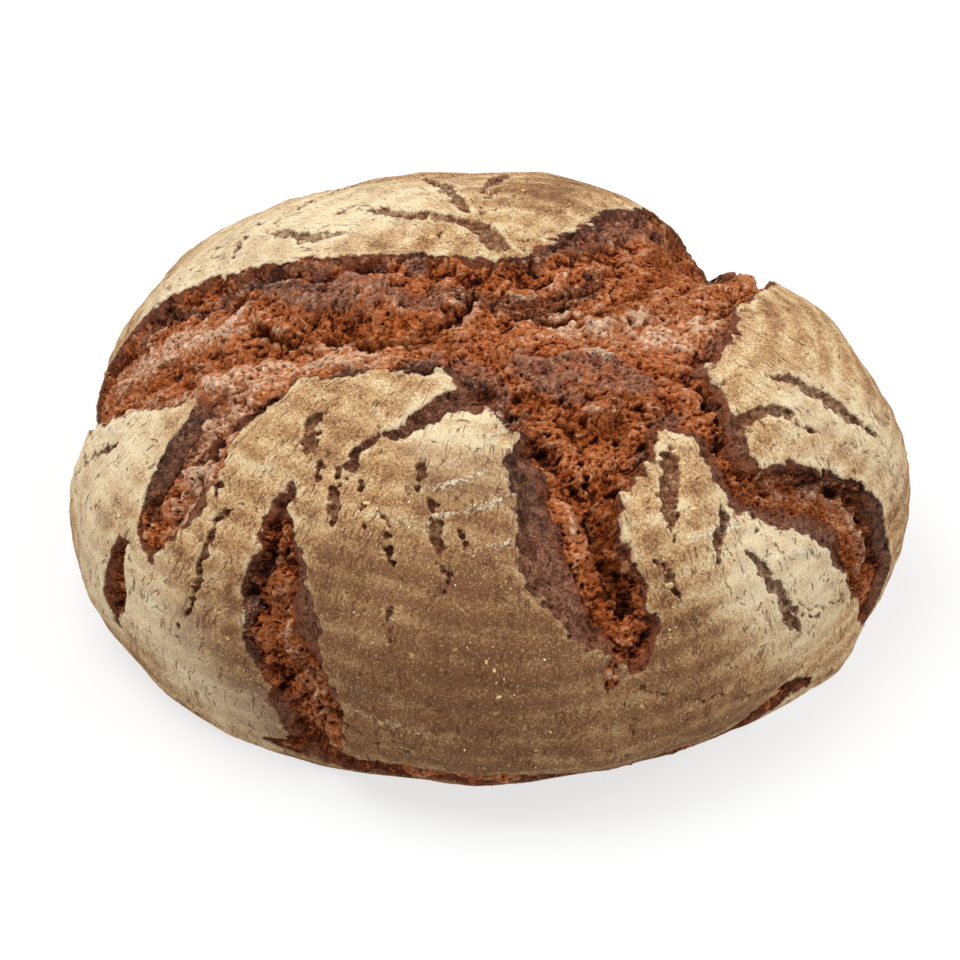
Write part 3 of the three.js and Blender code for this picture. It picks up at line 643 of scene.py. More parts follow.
def shapeLoaf():
    uv, faces = hexDisk(dome["rings"])
    uv[:, 0] += 1e-7
    base = onDisk(uv)
    normals = diskNormals(uv)
    run = np.hypot(uv[:, 0], uv[:, 1]) * 100.0
    edge, crumbEdge, sunk, away = readTears(base)
    inside = smooth(0, 4, -edge)
    for way, courses in ((1, troughs), (-1, ridges)):
        for swell in courses.values():
            near, gap, _ = nearCourse(base, swell["course"], swell["wall"])
            share = smooth(-swell["wall"], swell["wall"] / 2, -gap)
            sunk[near] += way * inside[near] * swell["depth"] * share
    ragged = strayed(base, strays["crevices"])
    for crevice in crevices.values():
        near, gap, _ = nearCourse(ragged, crevice["course"], relief["creviceReach"])
        sunk[near] += inside[near] * crevice["depth"] * smooth(-0.4, crevice["wall"], -gap)
    print("tears read for", len(base), "points")

    mark = np.full(len(base), relief["farFromMarks"])
    ragged = strayed(base, strays["marks"])
    for course in marks:
        near, gap, _ = nearCourse(ragged, course, relief["markReach"], 4)
        mark[near] = np.minimum(mark[near], gap)
    mark += lumpSum(base, chips["mark edge"], creased=True) - relief["markChipped"]
    dent = relief["markDepth"] * smooth(-0.3, 1.1, -mark)
    for hair in hairs:
        course = [(bearing, fall, relief["hairWidth"]) for bearing, fall in hair]
        near, gap, _ = nearCourse(ragged, course, relief["markReach"], 4)
        dent[near] = np.maximum(dent[near], relief["hairDepth"] * smooth(-0.2, 0.5, -gap))
        mark[near] = np.minimum(mark[near], gap + 0.2)

    shades = {name: patchShade(base, reach, courses) for name, (reach, courses) in patches.items()}
    dip = relief["plateDip"] * (1 - smooth(0, relief["plateDipReach"], np.maximum(edge, 0)))
    rough = relief["crags"] * inside * lumps(base, relief["cragWave"])
    rings = np.sin(2 * math.pi * run * relief["arc"] / relief["coilGap"] + randomLumps(base, 30.0, 61))
    coiled = relief["coils"] * rings * smooth(1.0, 5.0, edge) * smooth(20, 35, run)
    coiled = coiled * (1 - smooth(88, 96, run))
    plateWaves = relief["plateWaves"] * lumpSum(base, chips["plate"])
    out = relief["swell"] * lumps(base, relief["swellWave"]) - dip - sunk + rough - dent + coiled + plateWaves
    out += relief["chalkRise"] * shades["chalky"]
    level = smooth(0, relief["footFade"], 100 - run)
    move = normals * out[:, None]
    move[:, 2] *= level

    lean = relief["overhang"] * (0.55 + 0.6 * randomLumps(base, 13.0, 71)).clip(0.1, 1.0)
    away -= normals * (away * normals).sum(axis=1, keepdims=True)
    toward = smooth(-0.6, 0.4, crumbEdge) * (1 - smooth(0.4, 4.5, crumbEdge))
    under = smooth(-4.0, -1.0, crumbEdge) * (1 - smooth(-1.0, 0.0, crumbEdge))
    slide = lean * (0.5 * under - toward) * smooth(0.5, 3.0, sunk + 1.5 * (crumbEdge > 0))
    move += away * slide[:, None] * level[:, None]
    surface = base + move
    surface[:, 2] = np.maximum(surface[:, 2], 0.0)

    rimStart = len(base) - 6 * dome["rings"]
    below, inward, baseFaces = closeBase(surface[rimStart:, :2], rimStart, dome["baseRings"])
    flat = np.column_stack([below, np.zeros(len(below))])
    belowZ = (0.5 + 0.5 * randomLumps(flat, 9.0, 81)) * 0.7 * smooth(0.01, 0.1, inward)
    surface = np.vstack([surface, np.column_stack([below, belowZ])])

    # cracks follow the stretch from crown to foot: far apart that way, close together across it
    angle = np.arctan2(uv[:, 1], uv[:, 0])
    spoke = np.stack([100 * np.cos(angle), 100 * np.sin(angle), 0.3 * run], axis=1)

    onBase = {
        "edge": (edge, 30.0),
        "crumbEdge": (crumbEdge, 30.0),
        "mark": (mark, relief["farFromMarks"]),
        "bared": (np.minimum(edge, mark), relief["farFromMarks"]),
        "run": (run, 101.0),
        "hold": (1.0 - smooth(0.5, 3.5, base[:, 2]), 1.0),
    }
    onBase.update({name: (shade, 0.0) for name, shade in shades.items()})
    fields = {name: np.concatenate([above, np.full(len(below), flatValue)])
              for name, (above, flatValue) in onBase.items()}
    fields["rest"] = np.vstack([base, flat])
    fields["spoke"] = np.vstack([spoke, flat])
    fields["outward"] = np.vstack([normals, np.tile((0.0, 0.0, -1.0), (len(below), 1))])
    print("surface shaped:", len(surface), "points")
    return surface, np.concatenate([faces, baseFaces]), fields


# a piece from points in the dome's millimetres; shift brings the dome's middle to the frame's
def makeMesh(name, places, faces, fields, shift, material):
    mesh = bpy.data.meshes.new(name)
    mesh.vertices.add(len(places))
    mesh.vertices.foreach_set("co", ((places - shift) * metre).ravel())
    mesh.loops.add(len(faces) * 3)
    mesh.loops.foreach_set("vertex_index", faces.ravel())
    mesh.polygons.add(len(faces))
    mesh.polygons.foreach_set("loop_start", np.arange(len(faces)) * 3)
    mesh.polygons.foreach_set("use_smooth", np.ones(len(faces), dtype=bool))
    mesh.update(calc_edges=True)
    for key, values in fields.items():
        vector = values.ndim == 2
        attribute = mesh.attributes.new(key, "FLOAT_VECTOR" if vector else "FLOAT", "POINT")
        attribute.data.foreach_set("vector" if vector else "value", values.astype(np.float32).ravel())
    mesh.materials.append(material)
    piece = bpy.data.objects.new(name, mesh)
    bpy.context.collection.objects.link(piece)
    return piece


softly = {"interpolation_type": "SMOOTHSTEP"}
colours = {"data_type": "RGBA"}


# adds a node with its settings, or with its operation alone; inputs by name or number, or listed in order,
# may be values or the outputs of other nodes
def addNode(tree, kind, settings, inputs, output=0):
    node = tree.nodes.new(kind)
    if isinstance(settings, str):
        settings = {"operation": settings}
    for name, value in settings.items():
        setattr(node, name, value)
    for key, value in inputs.items() if isinstance(inputs, dict) else enumerate(inputs):
        socket = node.inputs[key]
        if isinstance(value, bpy.types.NodeSocket):
            tree.links.new(value, socket)
        else:
            socket.default_value = value
    return node.outputs[output]


# a total, and to it each value times its weight
def weighed(tree, total, parts):
    for value, weight in parts:
        total = addNode(tree, "ShaderNodeMath", "MULTIPLY_ADD", [value, weight, total])
    return total


# lays colours over one another, each to its most as its value goes from start to end
def layered(tree, palette, colour, layers):
    for value, start, end, most, over in layers:
        share = addNode(tree, "ShaderNodeMapRange", softly, [value, start, end, 0.0, most])
        over = palette[over] if isinstance(over, str) else over
        colour = addNode(tree, "ShaderNodeMix", colours, {0: share, 6: colour, 7: over}, 2)
    return colour


# a tree of Geometry Nodes with a piece's values as its inputs
def openTree(name, values):
    tree = bpy.data.node_groups.new(name, "GeometryNodeTree")
    tree.interface.new_socket(name="Geometry", in_out="INPUT", socket_type="NodeSocketGeometry")
    for key, value in values.items():
        kind = "NodeSocketInt" if isinstance(value, int) else "NodeSocketFloat"
        tree.interface.new_socket(name=key, in_out="INPUT", socket_type=kind)
    tree.interface.new_socket(name="Geometry", in_out="OUTPUT", socket_type="NodeSocketGeometry")
    return tree, tree.nodes.new("NodeGroupInput").outputs


# ends the tree, and sets it and its values on the piece
def closeTree(tree, body, material, piece, values):
    body = addNode(tree, "GeometryNodeRealizeInstances", {}, [body])
    body = addNode(tree, "GeometryNodeSetMaterial", {}, {"Geometry": body, "Material": material})
    tree.links.new(body, tree.nodes.new("NodeGroupOutput").inputs["Geometry"])
    modifier = piece.modifiers.new(tree.name, "NODES")
    modifier.node_group = tree
    for socket in tree.interface.items_tree:
        if socket.name in values:
            modifier[socket.identifier] = values[socket.name]


# the torn dough is drawn out one way: how far that way is turned, and how much longer things are along it
grainTurn = math.radians(-25)
grainDraw = (0.7, 1.05, 0.95)


def drawnOut(tree, lying):
    turned = addNode(tree, "ShaderNodeVectorRotate", {"rotation_type": "Z_AXIS"},
                     {"Vector": lying, "Angle": grainTurn})
    return addNode(tree, "ShaderNodeVectorMath", "MULTIPLY", [turned, grainDraw])


# crumb, pores and grit raised on the surface, by Geometry Nodes; sizes and heights in mm
crumbRelief = {
    "Lump size": 9.0,
    "Lump height": 2.0,
    "Crest size": 3.4,  # sharp little crests between the lumps
    "Crest height": 0.6,
    "Grain size": 1.1,
    "Grain height": 0.5,
    "Cave size": 8.0,  # from one large pore to the next
    "Cave depth": 3.0,
    "Gap size": 1.9,  # ragged gaps between the strands
    "Gap depth": 1.6,
    "Skin height": 2.6,
    "Crust thickness": 0.8,
    "Grit height": 0.6,  # on the floured crust
}


def raiseCrumb(piece, material):
    tree, given = openTree("crumbRelief", crumbRelief)
    bared, crumbEdge, hold = (addNode(tree, "GeometryNodeInputNamedAttribute", {"data_type": "FLOAT"}, [name])
                              for name in ("bared", "crumbEdge", "hold"))
    lying = tree.nodes.new("GeometryNodeInputPosition").outputs["Position"]
    lying = addNode(tree, "ShaderNodeVectorMath", "SCALE", {"Vector": lying, "Scale": 1 / metre})
    drawn = drawnOut(tree, lying)

    # noises, each as wide as its own input says
    noise = {}
    for name, detail, rough, twist in (("Lump", 5.0, 0.5, 0.7), ("Crest", 3.0, 0.6, 0.6),
                                       ("Grain", 2.0, 0.6, 0.0), ("Gap", 3.0, 0.6, 0.8)):
        perSize = addNode(tree, "ShaderNodeMath", "DIVIDE", [1.0, given[name + " size"]])
        space = addNode(tree, "ShaderNodeVectorMath", "SCALE", {"Vector": drawn, "Scale": perSize})
        noise[name] = addNode(tree, "ShaderNodeTexNoise", {},
                              {"Vector": space, "Scale": 1.0, "Detail": detail, "Roughness": rough,
                               "Distortion": twist})

    # lumps stand in worn steps
    lump = addNode(tree, "ShaderNodeMapRange", {"clamp": False}, [noise["Lump"], 0.5, 0.68])
    step = addNode(tree, "ShaderNodeMath", "MULTIPLY", [lump, 1.6])
    tread = addNode(tree, "ShaderNodeMath", "FLOOR", [step])
    riser = addNode(tree, "ShaderNodeMath", "SUBTRACT", [step, tread])
    riser = addNode(tree, "ShaderNodeMapRange", softly, [riser, 0.3, 0.7])
    step = addNode(tree, "ShaderNodeMath", "ADD", [tread, riser])
    step = addNode(tree, "ShaderNodeMath", "DIVIDE", [step, 1.6])
    lump = addNode(tree, "ShaderNodeMix", {}, {0: 0.5, 2: lump, 3: step})
    crest = addNode(tree, "ShaderNodeMath", "SUBTRACT", [noise["Crest"], 0.5])
    crest = addNode(tree, "ShaderNodeMath", "ABSOLUTE", [crest])
    crest = addNode(tree, "ShaderNodeMapRange", {"clamp": False}, [crest, 0.16, 0.0, -0.5, 0.5])
    grain = addNode(tree, "ShaderNodeMapRange", {"clamp": False}, [noise["Grain"], 0.3, 0.7, -0.5, 0.5])
    craggy = weighed(tree, 0.0, [(lump, given["Lump height"]), (crest, given["Crest height"]),
                                 (grain, given["Grain height"])])

    # gaps between the strands, and caves: bent cells, some of them open
    gap = addNode(tree, "ShaderNodeMapRange", softly, [noise["Gap"], 0.43, 0.32])
    bend = addNode(tree, "ShaderNodeTexNoise", {}, {"Vector": drawn, "Scale": 0.35, "Detail": 3.0}, "Color")
    bent = addNode(tree, "ShaderNodeVectorMath", "MULTIPLY_ADD", [bend, (5.0, 5.0, 5.0), drawn])
    perCell = addNode(tree, "ShaderNodeMath", "DIVIDE", [1.0, given["Cave size"]])
    space = addNode(tree, "ShaderNodeVectorMath", "SCALE", {"Vector": bent, "Scale": perCell})
    cell = addNode(tree, "ShaderNodeTexVoronoi", {"feature": "F1"}, {"Vector": space, "Scale": 1.0}).node
    luck = addNode(tree, "FunctionNodeSeparateColor", {}, {"Color": cell.outputs["Color"]})
    radius = addNode(tree, "ShaderNodeMapRange", {}, [luck, 0.5, 1.0, 0.0, 0.34])
    inner = addNode(tree, "ShaderNodeMath", "MULTIPLY", [radius, 0.4])
    cave = addNode(tree, "ShaderNodeMapRange", softly, [cell.outputs["Distance"], radius, inner])
    large = addNode(tree, "ShaderNodeMath", "GREATER_THAN", [radius, 0.05])
    cave = addNode(tree, "ShaderNodeMath", "MULTIPLY", [cave, large])
    pore = addNode(tree, "ShaderNodeMath", "MAXIMUM", [cave, gap])
    hollow = addNode(tree, "ShaderNodeMath", "MULTIPLY", [gap, given["Gap depth"]])
    hollow = addNode(tree, "ShaderNodeMath", "MULTIPLY_ADD", [cave, given["Cave depth"], hollow])
    crumbHeight = addNode(tree, "ShaderNodeMath", "SUBTRACT", [craggy, hollow])

    # skin: low blisters; crust: grit of flour and bran
    blister, grit = (addNode(tree, "ShaderNodeTexNoise", {},
                             {"Vector": lying, "Scale": scale, "Detail": detail, "Roughness": 0.65})
                     for scale, detail in ((0.34, 5.0), (0.55, 3.0)))
    skinHeight = addNode(tree, "ShaderNodeMath", "SUBTRACT", [blister, 0.5])
    skinHeight = addNode(tree, "ShaderNodeMath", "MULTIPLY", [skinHeight, given["Skin height"]])
    skinHeight = addNode(tree, "ShaderNodeMath", "MULTIPLY_ADD", [pore, -0.35, skinHeight])
    skinHeight = addNode(tree, "ShaderNodeMath", "SUBTRACT", [skinHeight, given["Crust thickness"]])
    gritHeight = addNode(tree, "ShaderNodeMath", "SUBTRACT", [grit, 0.5])
    gritHeight = addNode(tree, "ShaderNodeMath", "MULTIPLY", [gritHeight, given["Grit height"]])

    isCrumb = addNode(tree, "ShaderNodeMapRange", softly, [crumbEdge, 0.6, -1.6])
    isSkin = addNode(tree, "ShaderNodeMapRange", softly, [bared, 0.2, -0.6])
    height = addNode(tree, "ShaderNodeMix", {}, {0: isSkin, 2: gritHeight, 3: skinHeight})
    height = addNode(tree, "ShaderNodeMix", {}, {0: isCrumb, 2: height, 3: crumbHeight})
    # steep walls have few corners to a millimetre, so they stay smoother
    facing = tree.nodes.new("GeometryNodeInputNormal").outputs["Normal"]
    outward = addNode(tree, "GeometryNodeInputNamedAttribute", {"data_type": "FLOAT_VECTOR"}, ["outward"])
    level = addNode(tree, "ShaderNodeVectorMath", "DOT_PRODUCT", [facing, outward], "Value")
    level = addNode(tree, "ShaderNodeMapRange", softly, [level, 0.1, 0.6, 0.4, 1.0])
    free = addNode(tree, "ShaderNodeMath", "SUBTRACT", [1.0, hold])
    for share in (free, level, metre):
        height = addNode(tree, "ShaderNodeMath", "MULTIPLY", [height, share])
    offset = addNode(tree, "ShaderNodeVectorMath", "SCALE", {"Vector": facing, "Scale": height})
    body = given["Geometry"]
    for name, value in (("raised", craggy), ("pore", pore)):
        body = addNode(tree, "GeometryNodeStoreNamedAttribute", {"data_type": "FLOAT", "domain": "POINT"},
                       {"Geometry": body, "Name": name, "Value": value})
    body = addNode(tree, "GeometryNodeSetPosition", {}, {"Geometry": body, "Offset": offset})
    closeTree(tree, body, material, piece, crumbRelief)


# swaps a piece's mesh for what its modifiers make of it, and takes the modifiers off
def settle(piece):
    graph = bpy.context.evaluated_depsgraph_get()
    made = bpy.data.meshes.new_from_object(piece.evaluated_get(graph), depsgraph=graph)
    piece.modifiers.clear()
    piece.data = made


def sRgb(hexColour):
    channels = [int(hexColour[i:i + 2], 16) / 255 for i in (1, 3, 5)]
    return tuple(c / 12.92 if c <= 0.04045 else ((c + 0.055) / 1.055) ** 2.4 for c in channels) + (1.0,)


# a material with its fields, and where its points lie, in millimetres
def openMaterial(name, fieldNames):
    material = bpy.data.materials.new(name)
    material.use_nodes = True
    tree = material.node_tree
    tree.nodes.clear()
    field = {key: addNode(tree, "ShaderNodeAttribute", {"attribute_name": key}, {}, "Fac")
             for key in fieldNames}
    lying = addNode(tree, "ShaderNodeTexCoord", {}, {}, "Object")
    lying = addNode(tree, "ShaderNodeVectorMath", "SCALE", {"Vector": lying, "Scale": 1 / metre})
    return material, tree, field, lying


def closeMaterial(tree, height, values):
    normal = addNode(tree, "ShaderNodeBump", {}, {"Strength": 1.0, "Distance": metre, "Height": height})
    shader = addNode(tree, "ShaderNodeBsdfPrincipled", {}, {**values, "Normal": normal}, "BSDF")
    tree.links.new(shader, tree.nodes.new("ShaderNodeOutputMaterial").inputs["Surface"])


crustFieldNames = ("edge", "crumbEdge", "mark", "run", "fineShadeAndLight", "wideHollowShade", "floured", "brownedAndShaded", "chalky",
                   "scorchAndShade", "dusted")
crumbFieldNames = ("raised", "pore", "fineShadeAndLight", "wideHollowShade", "mauve", "rosyPaintedLight", "amber", "scorchAndShade", "dusted")

ryeColours = {
    "bare": sRgb("#80563a"),
    "toasted": sRgb("#a37850"),
    "tan": sRgb("#c69e6e"),
    "cream": sRgb("#e8d2a8"),
    "chalk": sRgb("#f0e3c4"),
    "brownedAndShaded": sRgb("#74502f"),
    "bran": sRgb("#5a3820"),
    "crack": sRgb("#6b3f26"),
    "flake": sRgb("#e2b87c"),
    "skin": sRgb("#7e4d35"),
    "skinPale": sRgb("#ad7c60"),
    "skinDark": sRgb("#4f2410"),
    "rusted": sRgb("#914a25"),
    "scorchAndShade": sRgb("#452f27"),
    "pore": sRgb("#250b04"),
    "flour": sRgb("#f6eddc"),
}

# waves to a millimetre, detail and roughness
ryeNoise = {
    "drift": (0.04, 4.0, 0.6),  # flour in drifts as wide as a palm
    "cloud": (0.17, 5.0, 0.65),  # in clouds as wide as a thumb
    "dust": (1.2, 3.0, 0.7),  # and in grains
    "where": (0.2, 3.0, 0.6),  # crackled here, split there
    "tone": (0.36, 6.0, 0.78),  # of the skin
    "grit": (1.3, 4.0, 0.75),
}


# rye crust baked under a coat of flour: matt and chalky on the plates, crackled and freckled with bran;
# where it stretched open its skin is brown, finely pitted and a little duller than leather
def ryeCrustMaterial():
    material, tree, field, lying = openMaterial("floured rye crust", crustFieldNames)
    spoke = addNode(tree, "ShaderNodeAttribute", {"attribute_name": "spoke"}, {}, "Vector")
    noise = {name: addNode(tree, "ShaderNodeTexNoise", {},
                           {"Vector": lying, "Scale": scale, "Detail": detail, "Roughness": rough})
             for name, (scale, detail, rough) in ryeNoise.items()}
    noiseColour = {name: value.node.outputs["Color"] for name, value in noise.items()}

    # the basket's coil left ridges 10 mm apart, which caught more flour here and there
    turn = weighed(tree, 0.0, [(field["run"], 1.367), (noise["cloud"], 2.2), (noise["drift"], 5.0)])
    coil = addNode(tree, "ShaderNodeMath", "SINE", [turn])
    worn = addNode(tree, "ShaderNodeMapRange", softly, [noise["where"], 0.4, 0.6, 0.08, 0.28])
    coil = addNode(tree, "ShaderNodeMath", "MULTIPLY", [coil, worn])
    # painted light: the crust is made paler along the plates' edges and where it stands up, and darker in its
    # fine hollows
    paintedRimLight = addNode(tree, "ShaderNodeMapRange", softly, [field["edge"], 4.0, 1.5])
    flour = weighed(tree, coil, [(noise["drift"], 1.4), (noise["cloud"], 1.3), (noise["dust"], 2.4),
                                 (paintedRimLight, 0.16), (field["floured"], 0.36), (field["brownedAndShaded"], -0.48),
                                 (field["fineShadeAndLight"], 0.7)])
    crust = layered(tree, ryeColours, ryeColours["bare"], [
        (flour, 1.9, 2.35, 1.0, "toasted"), (flour, 2.2, 2.7, 1.0, "tan"), (flour, 2.55, 3.25, 1.0, "cream")])

    # freckles of bran, half a millimetre wide, and a few pale flakes three times as wide
    bentWide, bentFine = (addNode(tree, "ShaderNodeVectorMath", "MULTIPLY_ADD",
                                  [noiseColour[name], (bend, bend, bend), lying])
                          for name, bend in (("cloud", 9.0), ("dust", 1.6)))
    bran = addNode(tree, "ShaderNodeTexVoronoi", {}, {"Vector": lying, "Scale": 0.75})
    flake = addNode(tree, "ShaderNodeTexVoronoi", {}, {"Vector": bentWide, "Scale": 0.11})
    # cracks as thin as a hair: split along the stretch, and crackled where the flour dried
    streak = addNode(tree, "ShaderNodeTexNoise", {},
                     {"Vector": spoke, "Scale": 0.26, "Detail": 2.0, "Roughness": 0.6})
    streak = addNode(tree, "ShaderNodeMath", "SUBTRACT", [streak, 0.5])
    streak = addNode(tree, "ShaderNodeMath", "ABSOLUTE", [streak])
    crackle = addNode(tree, "ShaderNodeTexVoronoi", {"feature": "DISTANCE_TO_EDGE"},
                      {"Vector": bentWide, "Scale": 0.1})
    pit = addNode(tree, "ShaderNodeTexVoronoi", {}, {"Vector": bentFine, "Scale": 0.5}).node
    luck = addNode(tree, "ShaderNodeSeparateColor", {}, {"Color": pit.outputs["Color"]})
    pit = addNode(tree, "ShaderNodeMath", "MULTIPLY_ADD", [luck, 0.5, pit.outputs["Distance"]])
    shown = {name: addNode(tree, "ShaderNodeMapRange", softly, fall) for name, fall in {
        "bran": [bran, 0.3, 0.12], "flake": [flake, 0.12, 0.08],
        "dark": [noise["grit"], 0.46, 0.32], "light": [noise["grit"], 0.54, 0.7],
        "streak": [streak, 0.02, 0.005], "crackle": [crackle, 0.04, 0.012],
        "streaked": [noise["where"], 0.53, 0.43], "crackled": [noise["where"], 0.56, 0.62],
        "pit": [pit, 0.42, 0.28]}.items()}
    streak = addNode(tree, "ShaderNodeMath", "MULTIPLY", [shown["streak"], shown["streaked"]])
    crackle = addNode(tree, "ShaderNodeMath", "MULTIPLY", [shown["crackle"], shown["crackled"]])
    crack = addNode(tree, "ShaderNodeMath", "MAXIMUM", [streak, crackle])
    chalked = weighed(tree, field["chalky"], [(noise["dust"], 2.6), (noise["cloud"], 2.4)])
    chalked = addNode(tree, "ShaderNodeMapRange", softly, [chalked, 3.1, 3.7, 0.0, 0.75])
    for part, most, name in ((field["brownedAndShaded"], 0.4, "brownedAndShaded"), (shown["bran"], 0.4, "bran"),
                             (field["floured"], 0.34, "chalk"), (shown["dark"], 0.36, "bran"),
                             (shown["light"], 0.6, "cream"), (shown["flake"], 0.6, "flake"),
                             (chalked, 1.0, "chalk"), (crack, 0.75, "crack")):
        share = addNode(tree, "ShaderNodeMath", "MULTIPLY", [part, most])
        crust = addNode(tree, "ShaderNodeMix", colours, {0: share, 6: crust, 7: ryeColours[name]}, 2)

    # skin of the stretched walls, scorched near its lips; painted shade darkens it just under the plates'
    # edges, in the deep middle of the marks and in pits too fine for the mesh, and painted light makes it
    # paler where it stands up
    skinTone = weighed(tree, -0.35, [(noise["tone"], 0.8), (noise["grit"], 0.9), (field["fineShadeAndLight"], 0.12)])
    lip = addNode(tree, "ShaderNodeMapRange", softly, [field["edge"], -2.5, -0.2, 1.0, 1.3])
    scorchAndShade = weighed(tree, lip, [(noise["tone"], -2.6), (field["scorchAndShade"], 0.7)])
    rusted = addNode(tree, "ShaderNodeMath", "MULTIPLY_ADD", [noise["tone"], -8.0, 4.0])
    rusted = addNode(tree, "ShaderNodeMath", "ADD", [field["crumbEdge"], rusted])
    skin = layered(tree, ryeColours, ryeColours["skin"], [
        (skinTone, 0.47, 0.62, 1.0, "skinPale"), (rusted, 3.2, 0.4, 0.7, "rusted"),
        (skinTone, 0.47, 0.34, 1.0, "skinDark"), (scorchAndShade, 0.1, 0.9, 0.85, "scorchAndShade"),
        (field["mark"], -0.6, -1.8, 0.5, "skinDark"), (shown["pit"], 0.0, 1.0, 0.8, "pore")])

    # skin shows inside the tears and, thinner, along the marks and at the rims of the plates
    frayed, marked = (addNode(tree, "ShaderNodeMath", "MULTIPLY_ADD", [noise["dust"], 1.0, field[name]])
                      for name in ("edge", "mark"))
    whole = addNode(tree, "ShaderNodeMapRange", softly, [noise["tone"], 0.4, 0.6, 0.95, 0.5])
    isSkin, rim, isMark = (addNode(tree, "ShaderNodeMapRange", softly, [value, start, end, 0.0, most])
                           for value, start, end, most in ((frayed, 0.75, 0.35, 1.0), (frayed, 2.0, 0.5, 0.3),
                                                           (marked, 0.9, 0.2, 1.0)))
    isMark = addNode(tree, "ShaderNodeMath", "MULTIPLY", [isMark, whole])
    thin = addNode(tree, "ShaderNodeMath", "MAXIMUM", [isMark, rim])
    thin = addNode(tree, "ShaderNodeMath", "MAXIMUM", [isSkin, thin])
    colour = addNode(tree, "ShaderNodeMix", colours, {0: thin, 6: crust, 7: skin}, 2)

    # painted shade: darker in the wide hollows; and loose flour
    grains = addNode(tree, "ShaderNodeMath", "MULTIPLY", [field["dusted"], noise["dust"]])
    colour = layered(tree, ryeColours, colour, [(field["wideHollowShade"], -0.5, -3.4, 0.6, "scorchAndShade"),
                                                (grains, 0.48, 0.64, 0.65, "flour")])

    # bump, too fine for the mesh: grit of half a millimetre, cracks and pits
    crustHeight = weighed(tree, 0.0, [(noise["grit"], 0.8), (crack, -0.35), (shown["flake"], 0.3),
                                      (chalked, 0.3)])
    skinHeight = addNode(tree, "ShaderNodeMath", "MULTIPLY", [noise["grit"], 1.8])
    skinHeight = addNode(tree, "ShaderNodeMath", "MULTIPLY_ADD", [shown["pit"], -0.7, skinHeight])
    bumpHeight = addNode(tree, "ShaderNodeMix", {}, {0: isSkin, 2: crustHeight, 3: skinHeight})
    # skin shines a little, flour not at all
    shine = addNode(tree, "ShaderNodeMix", {}, {0: isSkin, 2: 0.95, 3: 0.62})
    closeMaterial(tree, bumpHeight, {"Base Color": colour, "Roughness": shine, "IOR": 1.45,
                                     "Specular IOR Level": 0.2})
    return material


crumbColours = {
    "pore": sRgb("#2c0d04"),
    "deep": sRgb("#742b0b"),
    "rust": sRgb("#c76a35"),
    "ember": sRgb("#d27f4a"),
    "rose": sRgb("#e3a077"),
    "pale": sRgb("#ffd2ae"),
    "mauve": sRgb("#7a4936"),
    "mauvePale": sRgb("#c8957d"),
    "scorchAndShade": sRgb("#3d2a28"),
    "gold": sRgb("#d0702a"),
    "flour": sRgb("#f4e0c2"),
}

# how high a grain of crumb stands, and the colour it has there: the low stops are painted shade, the high
# ones partly painted highlight
crumbScale = 5.0
crumbStops = [(1.75, "pore"), (2.15, "deep"), (2.65, "rust"), (3.15, "ember"), (3.65, "rose"), (4.2, "pale")]


